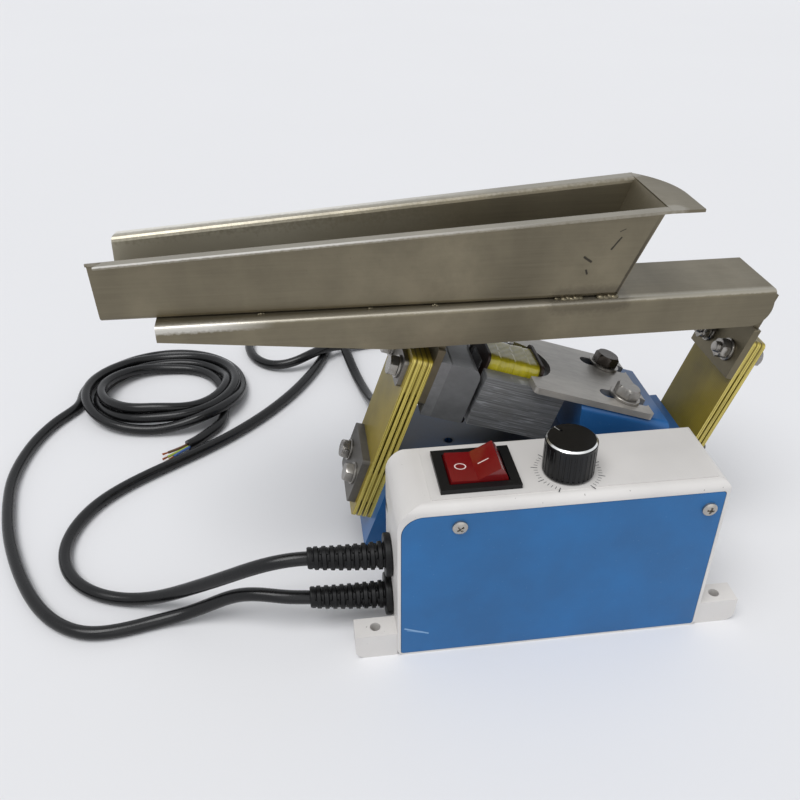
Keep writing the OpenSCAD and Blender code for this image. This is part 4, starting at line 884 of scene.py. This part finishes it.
class FEEDER_OT_magnet(bpy.types.Operator):
    """Armature, laminated core, taped winding, slotted plate and its bolts"""
    bl_idname = "feeder.magnet"
    bl_label = "Magnet"

    def execute(self, context):
        colours, sizes = context.scene.feeder_colours, context.scene.feeder_sizes
        laminations("core sheets", colours.iron, FRONT).on("magnet_core")
        metal("armature block", tint(colours.iron, 0.86), 0.42, (200, 300, 300), 0.4, FRONT,
              0.4).on("armature")
        metal("armature carrier", tint(colours.iron, 1.05), 0.4, (400, 400, 400), 0.35, FRONT,
              0.5).on("armature_carrier")
        moulded("coil former", srgb(44, 32, 27), 0.45, specular_ior_level=0.3).on("coil_former")
        plate = metal("slotted plate", colours.plate, 0.36, (120, 500, 300), 0.38, FRONT, 0.55)
        plate.on("magnet_plate")
        self.winding(colours)
        self.plate_bolts(colours, sizes)
        return {"FINISHED"}

    def winding(self, colours):
        """Tape lapped round the coil: a rounded square ring whose radius steps up at each lap."""
        low, high, middle = span(solids("coil_winding", FRONT)[0])
        half, laps, power = high - middle, 3.5, 7.0
        u, angle = np.linspace(low[0], high[0], 60)[:, None], circle(160)[None, :]
        share = (u - low[0]) / (high[0] - low[0])
        square = (np.abs(np.cos(angle)) ** power + np.abs(np.sin(angle)) ** power) ** (-1 / power)
        lap = np.mod(share * laps + angle / (2 * np.pi) * 0.6, 1.0)
        sag, ripple = 0.15 * np.sin(np.pi * share), 0.04 * np.sin(17 * angle + 9 * lap)
        lift = (-0.35 + 0.28 * lap - sag + ripple) * MM
        v, w = (middle[k] + np.clip((half[k] + lift) * square * way, -half[k], half[k])
                for k, way in ((1, np.cos(angle)), (2, np.sin(angle))))
        ring = np.stack([u + 0 * v, v, w], -1)
        centre = np.array([0, middle[1], middle[2]])
        core = centre + (ring - centre) * [1, 0.72, 0.72]
        pile = Pile().grid(np.concatenate([ring, core[::-1]]), along=True, matrix=FRONT)
        tape = Finish("winding tape", colours.tape, 0.3, 0.0, FRONT, coat_weight=0.5, coat_roughness=0.12)
        streak = tape.noise((900, 60, 60), 4, 0.6)
        age = tape.noise(70, 4, 0.6)
        height = tape.axis(tape.coords(), 2)
        top = middle[2] + half[2]
        # the top 1.5 mm of the tape darkens to olive: painted shade
        tape.paint(1, (streak, 0.35, 0.7, 0.55, 0.6), (age, 0.45, 0.7, srgb(120, 104, 30), 0.5),
                   (height, top - 1.5 * MM, top - 0.2 * MM, srgb(120, 108, 26), 0.5))
        tape.bump(streak, 0.00004, 0.5)
        piece = pile.make("taped_winding", tape.material, "base", smooth=50)
        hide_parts("coil_winding")

    def plate_bolts(self, colours, sizes):
        """Hexagon bolts and washers on the sloping plate."""
        bolts, rings = Pile(), Pile()
        up = FRONT.to_3x3().col[2]
        for points in solids("plate_bolts", FRONT):
            low, high, (x, y, _) = span(points)
            seat = high[2] - sizes.plate_head_height
            bolt(bolts, FRONT @ Vector((x, y, seat)), up, sizes.plate_bolt_flats,
                 sizes.plate_head_height, sizes.plate_bolt_diameter, seat - low[2],
                 sizes.thread_pitch, 0.35 + 8 * y)
        for points in solids("plate_washers", FRONT):
            place, size = ring_place(points, FRONT, 2)
            round_ring(rings, place, size[0] / 2, sizes.plate_bolt_diameter * BORE, size[2])
        dark = metal("dull zinc", tint(colours.plate, 0.8), 0.3, (600, 600, 600), 0.4)
        # the bolt on the far side of y = 0 is darkened towards brown-black: painted shade
        source = dark.shader.inputs["Base Color"].links[0].from_socket
        far = dark.spread(dark.axis(dark.place(), 1), -MM, MM, 0, 0.88)
        dark.set("Base Color", dark.mix(far, source, srgb(42, 34, 28)))
        pale = metal("washer zinc", tint(colours.plate, 0.9), 0.3, (600, 600, 600), 0.4)
        piece = bolts.make("plate_hex_bolts", dark.material, "base")
        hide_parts("plate_bolts")
        ring = rings.make("plate_flat_washers", pale.material, "base")
        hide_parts("plate_washers")


class FEEDER_OT_base(bpy.types.Operator):
    """Painted base, rubber feet and the cord gland"""
    bl_idname = "feeder.base"
    bl_label = "Base"

    def execute(self, context):
        colours = context.scene.feeder_colours
        # a dark stroke down the tapped hole is painted shade inside it, and the top of the base under the
        # magnet is darkened as painted shade
        tapped_hole_shade = [((-28, -6, 44), (-28, -6, 57), 3.2, srgb(16, 17, 22), 1.0, {"squeeze": (1, 1, 1)})]
        painted("base paint", colours.paint, marks=tapped_hole_shade, shaded_top=(0.058, 0.026)).on("base")
        moulded("foot rubber", colours.rubber, 0.65, 1200, 0.00006).on("rubber_feet")
        moulded("gland plastic", colours.black, 0.42).on("base_gland")
        return {"FINISHED"}


# ---- Control box

def boot_lift(run, reach, bend):
    """How far a boot's axis has risen at a distance from its flange: it grows with the square."""
    return bend * np.clip(run / reach, 0, 1.2) ** 2


class FEEDER_OT_box(bpy.types.Operator):
    """Box shell, front panel, label and its printed marks, screws, boots and what is inside"""
    bl_idname = "feeder.box"
    bl_label = "Control box"

    def execute(self, context):
        colours, sizes = context.scene.feeder_colours, context.scene.feeder_sizes
        shell = moulded("box shell", colours.shell, 0.42, 1500, 0.00003)
        source = shell.shader.inputs["Base Color"].links[0].from_socket
        wall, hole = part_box("box_housing")[0].x / MM + 17, srgb(14, 13, 13)
        specks = shell.spread(shell.noise(800, 1, 0.3), 0.79, 0.8, 0, 0.5)
        # the two dark strokes stand for small holes in the shell that are not cut: painted shade
        holes = [((wall, -39.4, 51.6), (wall, -39.6, 49.4), 1.1, hole, 1.0),
                 ((wall, -41.9, 34.4), (wall, -42.1, 33.2), 0.9, hole, 1.0)]
        shell.set("Base Color", shell.marks(shell.mix(specks, source, srgb(96, 90, 84)), holes))
        shell.on("box_housing")
        moulded("label film", tint(colours.shell, 0.98), 0.36, 3000, 0.00001).on("dial_label")
        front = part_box("front_panel")[0].y / MM
        scratches = [((-57, front, 15.1), (-47.6, front, 11.4), 0.45, srgb(150, 186, 220), 0.7),
                     ((-56, front, 13.9), (-50, front, 12.0), 0.3, srgb(130, 170, 210), 0.5)]
        painted("panel paint", colours.panel, 0.4, 900, scratches).on("front_panel")
        painted("board lacquer", srgb(30, 96, 52), 0.35).on("circuit_board")
        moulded("board parts", srgb(58, 58, 62), 0.5).on("board_parts")
        moulded("control body", srgb(70, 74, 70), 0.5).on("potentiometer")
        metal("control nut", colours.plate, 0.3, (600, 600, 600)).on("pot_nut", "pot_shaft")
        self.marks()
        self.screws(colours)
        rubber = moulded("boot rubber", tint(colours.rubber, 0.8), 0.42, 1800, 0.00004,
                         specular_ior_level=0.25).material
        for node, z in (("mains_boot", sizes.supply_z), ("output_boot", sizes.magnet_z)):
            self.boot(node, z, sizes, rubber)
        return {"FINISHED"}

    def marks(self):
        """Dial ticks: short bars on the label, every fifth one longer, open towards the front."""
        turn = JOINTS["knob_turn"]["pos_m"]
        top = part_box("dial_label")[1].z
        pile, count, start, sweep = Pile(), 40, 240, 300
        for k in range(count + 1):
            angle = math.radians(start - sweep * k / count)
            near = 11.6 * MM
            far, half = (14.2 * MM, 0.17 * MM) if k % 5 == 0 else (13.1 * MM, 0.11 * MM)
            along = np.array([math.cos(angle), math.sin(angle), 0])
            side = np.array([-along[1], along[0], 0])
            corners = ((near, -half), (far, -half), (far, half), (near, half))
            ring = np.array([r * along + w * side for r, w in corners]) + [*turn[:2], top - 0.01 * MM]
            pile.grid(np.stack([ring, ring + [0, 0, 0.04 * MM]]))
        ink = moulded("printing ink", srgb(52, 54, 60), 0.5)
        pile.make("dial_ticks", ink.material, "base", smooth=0)

    def screws(self, colours):
        """Pan heads with a cross recess: a dome whose height drops inside the four slots."""
        heads, front = Pile(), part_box("front_panel")[0].y
        half, arm, depth = 0.42 * MM, 1.55 * MM, 0.95 * MM
        for points in solids("panel_screws"):
            low, high, middle = span(points)
            radius = (high[0] - low[0]) / 2
            r = np.linspace(1, 0.01, 26)[:, None] * radius
            angle = circle(96)[None, :]
            x, y = r * np.cos(angle), r * np.sin(angle)
            dome = 0.6 * MM + 1.15 * MM * np.sqrt(np.clip(1 - (r / radius) ** 2 * 0.93, 0, 1)) + 0 * x
            slot = 0.0
            for a, b in ((x, y), (y, x)):
                across = np.clip((half - np.abs(a)) / (0.14 * MM), 0, 1)
                slot = np.maximum(slot, across * np.clip((arm - np.abs(b)) / (0.3 * MM), 0, 1))
            cap = np.stack([x, y, dome - depth * slot], -1)
            turn = along_axis((middle[0], front, middle[2]), (0, -1, 0))
            turn = turn @ Matrix.Rotation(0.5 + 40 * middle[0], 4, "Z")
            heads.grid(np.concatenate([cap[:1] * [1, 1, 0], cap]), matrix=turn)
        zinc = metal("screw zinc", tint(colours.plate, 1.15), 0.24, (900, 900, 900), 0.35)
        piece = heads.make("cross_head_screws", zinc.material, "base", smooth=32)
        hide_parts("panel_screws")

    def boot(self, node, z, sizes, rubber):
        """Cord boot: a tapering core with rounded ribs that short bridges join, turn about."""
        flange, ribs, end = 3 * MM, 9, 2 * MM
        reach = sizes.boot_length
        pitch = (reach - end) / ribs
        s = np.concatenate([np.linspace(-2.5 * MM, 0, 4), np.linspace(0.02 * MM, flange + reach, 260)])

        def radius(r, s, angle):
            at = s - flange
            taper = np.clip(at / reach, 0, 1)
            core = 4.3 * MM - 0.5 * MM * taper
            phase = np.mod(at / pitch, 1.0)
            rise = np.clip(np.sin(np.pi * np.clip((phase - 0.16) / 0.68, 0, 1)) * 2.2, 0, 1)
            rib = core + (1.55 - 0.75 * taper) * MM * rise
            parity = np.floor(at / pitch).astype(int) % 2
            bridge = np.abs(np.cos(angle + parity * np.pi / 2)) > 0.9
            between = core + (1.1 - 0.6 * taper) * MM
            out = np.where(bridge, np.maximum(rib, between), rib)
            out = np.where(at > reach - end, 4.45 * MM - 0.4 * MM * np.clip(
                (at - reach + 0.8 * MM) / (0.8 * MM), 0, 1) ** 2, out)
            lip = np.clip(np.minimum(s, flange - s) / (0.8 * MM), 0, 1)
            disc = sizes.boot_flange / 2 - 0.7 * MM * (1 - np.sqrt(1 - (1 - lip) ** 2))
            out = np.where((s >= 0) & (at < 0), disc, out)
            return np.where(s < 0, 4.9 * MM, out)
        shell = lathe(np.stack([np.full_like(s, 1.0), s], -1), 72, radius)
        bore = sizes.cord_diameter / 2 + 0.1 * MM
        inner = lathe([[bore, flange + reach], [bore, flange + reach - sizes.socket],
                       [0.2 * MM, flange + reach - sizes.socket]], 72)
        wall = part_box("front_panel")[0].x - 1.5 * MM
        place = along_axis((wall, sizes.boot_y, z), (-1, 0, 0))
        whole = np.concatenate([shell, inner])
        whole = whole @ np.array(place.to_3x3()).T + np.array(place.translation)
        run = np.abs(whole[..., 0] - place.translation.x) - flange
        whole[..., 2] += boot_lift(run, reach, sizes.bend)
        piece = Pile().grid(whole).make(node + "_ribbed", rubber, "base", smooth=35)
        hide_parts(node)


class FEEDER_OT_controls(bpy.types.Operator):
    """Switch bezel, translucent rocker with its marks, and the dial knob"""
    bl_idname = "feeder.controls"
    bl_label = "Switch and dial"

    def execute(self, context):
        colours, sizes = context.scene.feeder_colours, context.scene.feeder_sizes
        moulded("bezel plastic", colours.black, 0.35, 2200, specular_ior_level=0.3).on("switch_frame")
        red = moulded("rocker plastic", colours.rocker, 0.2, 3000, 0.00001, coat_weight=0.4,
                      coat_roughness=0.08)
        red.set("Subsurface Weight", 0.25)
        red.set("Subsurface Radius", (0.004, 0.001, 0.001))
        red.on("rocker")
        low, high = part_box("knob")
        x, y, _ = JOINTS["knob_turn"]["pos_m"]
        knob_finish("knob", colours.black, (x, y, 0), high.z, (high.x - low.x) / 2).on("knob")
        self.rocker_marks(sizes)
        return {"FINISHED"}

    def rocker_marks(self, sizes):
        """A ring on the pressed side and a dash on the raised side, laid on the rocker's two slopes."""
        joint = JOINTS["rocker_tilt"]
        pin = np.array(joint["pos_m"])
        tip = math.radians(joint["range_deg"][1]) / 2
        rise = math.radians(32)
        right = sizes.rocker_radius * np.array([math.cos(rise + tip), math.sin(rise + tip)])
        left = sizes.rocker_radius * np.array([-math.cos(rise - tip), math.sin(rise - tip)])
        crease = 3.3 * MM * np.array([-math.sin(tip), math.cos(tip)])

        def on_slope(end, share):
            """Frame at a share of the way from the crease to an end, turned along that slope."""
            slope = end - crease
            x, z = crease + slope * share
            lean = math.atan(slope[1] / slope[0])
            return (Matrix.Translation((pin[0] + x, pin[1], pin[2] + z))
                    @ Matrix.Rotation(-lean, 4, "Y"))
        around, section = circle(48)[:, None], circle(8)[None, :]
        ring_r, wire, half_dash = 2.1 * MM, 0.24 * MM, 2.3 * MM
        r = ring_r + wire * np.cos(section)
        torus = np.stack([r * np.cos(around), 0.82 * r * np.sin(around),
                          0.25 * wire * np.sin(section) + 0 * around], -1)
        bar = np.stack([wire * np.cos(section) + 0 * around,
                        -half_dash * np.cos(around / 2) + 0 * section,
                        0.25 * wire * np.sin(section) + 0 * around], -1)
        ring_mark = Pile().grid(torus, along=True, matrix=on_slope(left, 0.52))
        across = on_slope(right, 0.42) @ Matrix.Rotation(math.radians(90), 4, "Z")
        dash_mark = Pile().grid(bar, matrix=across)
        ink = moulded("mark ink", srgb(232, 214, 210), 0.4).material
        for shape, name in ((ring_mark, "rocker_ring_mark"), (dash_mark, "rocker_dash_mark")):
            shape.make(name, ink, "rocker")


# ---- Stage

class FEEDER_OT_stage(bpy.types.Operator):
    """Pale floor, soft lamps and the camera"""
    bl_idname = "feeder.stage"
    bl_label = "Stage"

    def execute(self, context):
        stage = context.scene.feeder_stage
        context.scene.view_settings.view_transform = "Standard"
        self.floor(stage)
        self.lamps(context)
        self.camera(context, stage)
        return {"FINISHED"}

    def floor(self, stage, reach=3.0):
        """Flat ground that runs past the view on all sides."""
        line = np.linspace(-reach, reach, 3)
        points = np.stack(np.meshgrid(line, line, [0.0], indexing="ij"), -1)[:, :, 0]
        ground = Finish("floor", stage.floor, 0.7)
        ground.set("Base Color", ground.mix(ground.noise(3, 2), 0.985, 1.01))
        Pile().grid(points, around=False).make("floor", ground.material, smooth=0)

    def lamps(self, context):
        """A broad even light from above, a weak one in front, and an even pale sky."""
        for name, energy, spread, way in (("high light", 1.75, 38, (-0.3, -0.28, 1.0)),
                                          ("front light", 0.35, 60, (0.25, -1.0, 0.5))):
            data = bpy.data.lights.new(name, "SUN")
            data.energy, data.angle = energy, math.radians(spread)
            show(name, data).matrix_world = along_axis((0, 0, 1), way)
        world = bpy.data.worlds.new("sky")
        context.scene.world = world
        world.use_nodes = True
        sky = Nodes(world.node_tree, "Background")
        sky.set("Color", (0.9, 0.92, 0.95, 1))
        # the sky that is seen, also in metal, is paler than the light that it gives
        path, seen = sky.node("LightPath", {}).outputs, 0
        for name in ("Is Camera Ray", "Is Glossy Ray", "Is Transmission Ray"):
            seen = sky.math("MAXIMUM", path[name], seen)
        sky.set("Strength", sky.spread(seen, 0, 1, 0.55, 0.86))

    def camera(self, context, stage):
        data = bpy.data.cameras.new("camera")
        data.lens, data.sensor_width, data.clip_start = stage.lens, 36, 0.01
        camera = show("camera", data)
        ahead = Vector((math.sin(stage.yaw) * math.cos(stage.pitch),
                        math.cos(stage.yaw) * math.cos(stage.pitch), -math.sin(stage.pitch)))
        right = Vector((math.cos(stage.yaw), -math.sin(stage.yaw), 0))
        turn = Matrix((right, right.cross(ahead), -ahead)).transposed().to_4x4()
        camera.matrix_world = Matrix.Translation(Vector(stage.camera)) @ turn
        context.scene.camera = camera


OPERATORS = [FEEDER_OT_stage, FEEDER_OT_cords, FEEDER_OT_tray, FEEDER_OT_springs, FEEDER_OT_magnet,
             FEEDER_OT_base, FEEDER_OT_box, FEEDER_OT_controls]


class FEEDER_PT_panel(bpy.types.Panel):
    """Lists the feeder's operators and settings"""
    bl_idname = "FEEDER_PT_panel"
    bl_label = "Feeder"
    bl_space_type = "VIEW_3D"
    bl_region_type = "UI"
    bl_category = "Feeder"

    def draw(self, context):
        for operator in OPERATORS:
            self.layout.operator(operator.bl_idname)
        for group in GROUPS:
            settings = getattr(context.scene, group)
            box = self.layout.box()
            for name in settings.__annotations__:
                box.prop(settings, name)


def register():
    for group in GROUPS.values():
        bpy.utils.register_class(group)
    for name, group in GROUPS.items():
        setattr(bpy.types.Scene, name, PointerProperty(type=group))
    for item in [*OPERATORS, FEEDER_PT_panel]:
        bpy.utils.register_class(item)


def unregister():
    for item in [FEEDER_PT_panel, *reversed(OPERATORS)]:
        bpy.utils.unregister_class(item)
    for name, group in GROUPS.items():
        delattr(bpy.types.Scene, name)
        bpy.utils.unregister_class(group)


def main():
    register()
    for operator in OPERATORS:
        family, name = operator.bl_idname.split(".")
        getattr(getattr(bpy.ops, family), name)()


if __name__ == "__main__":
    main()
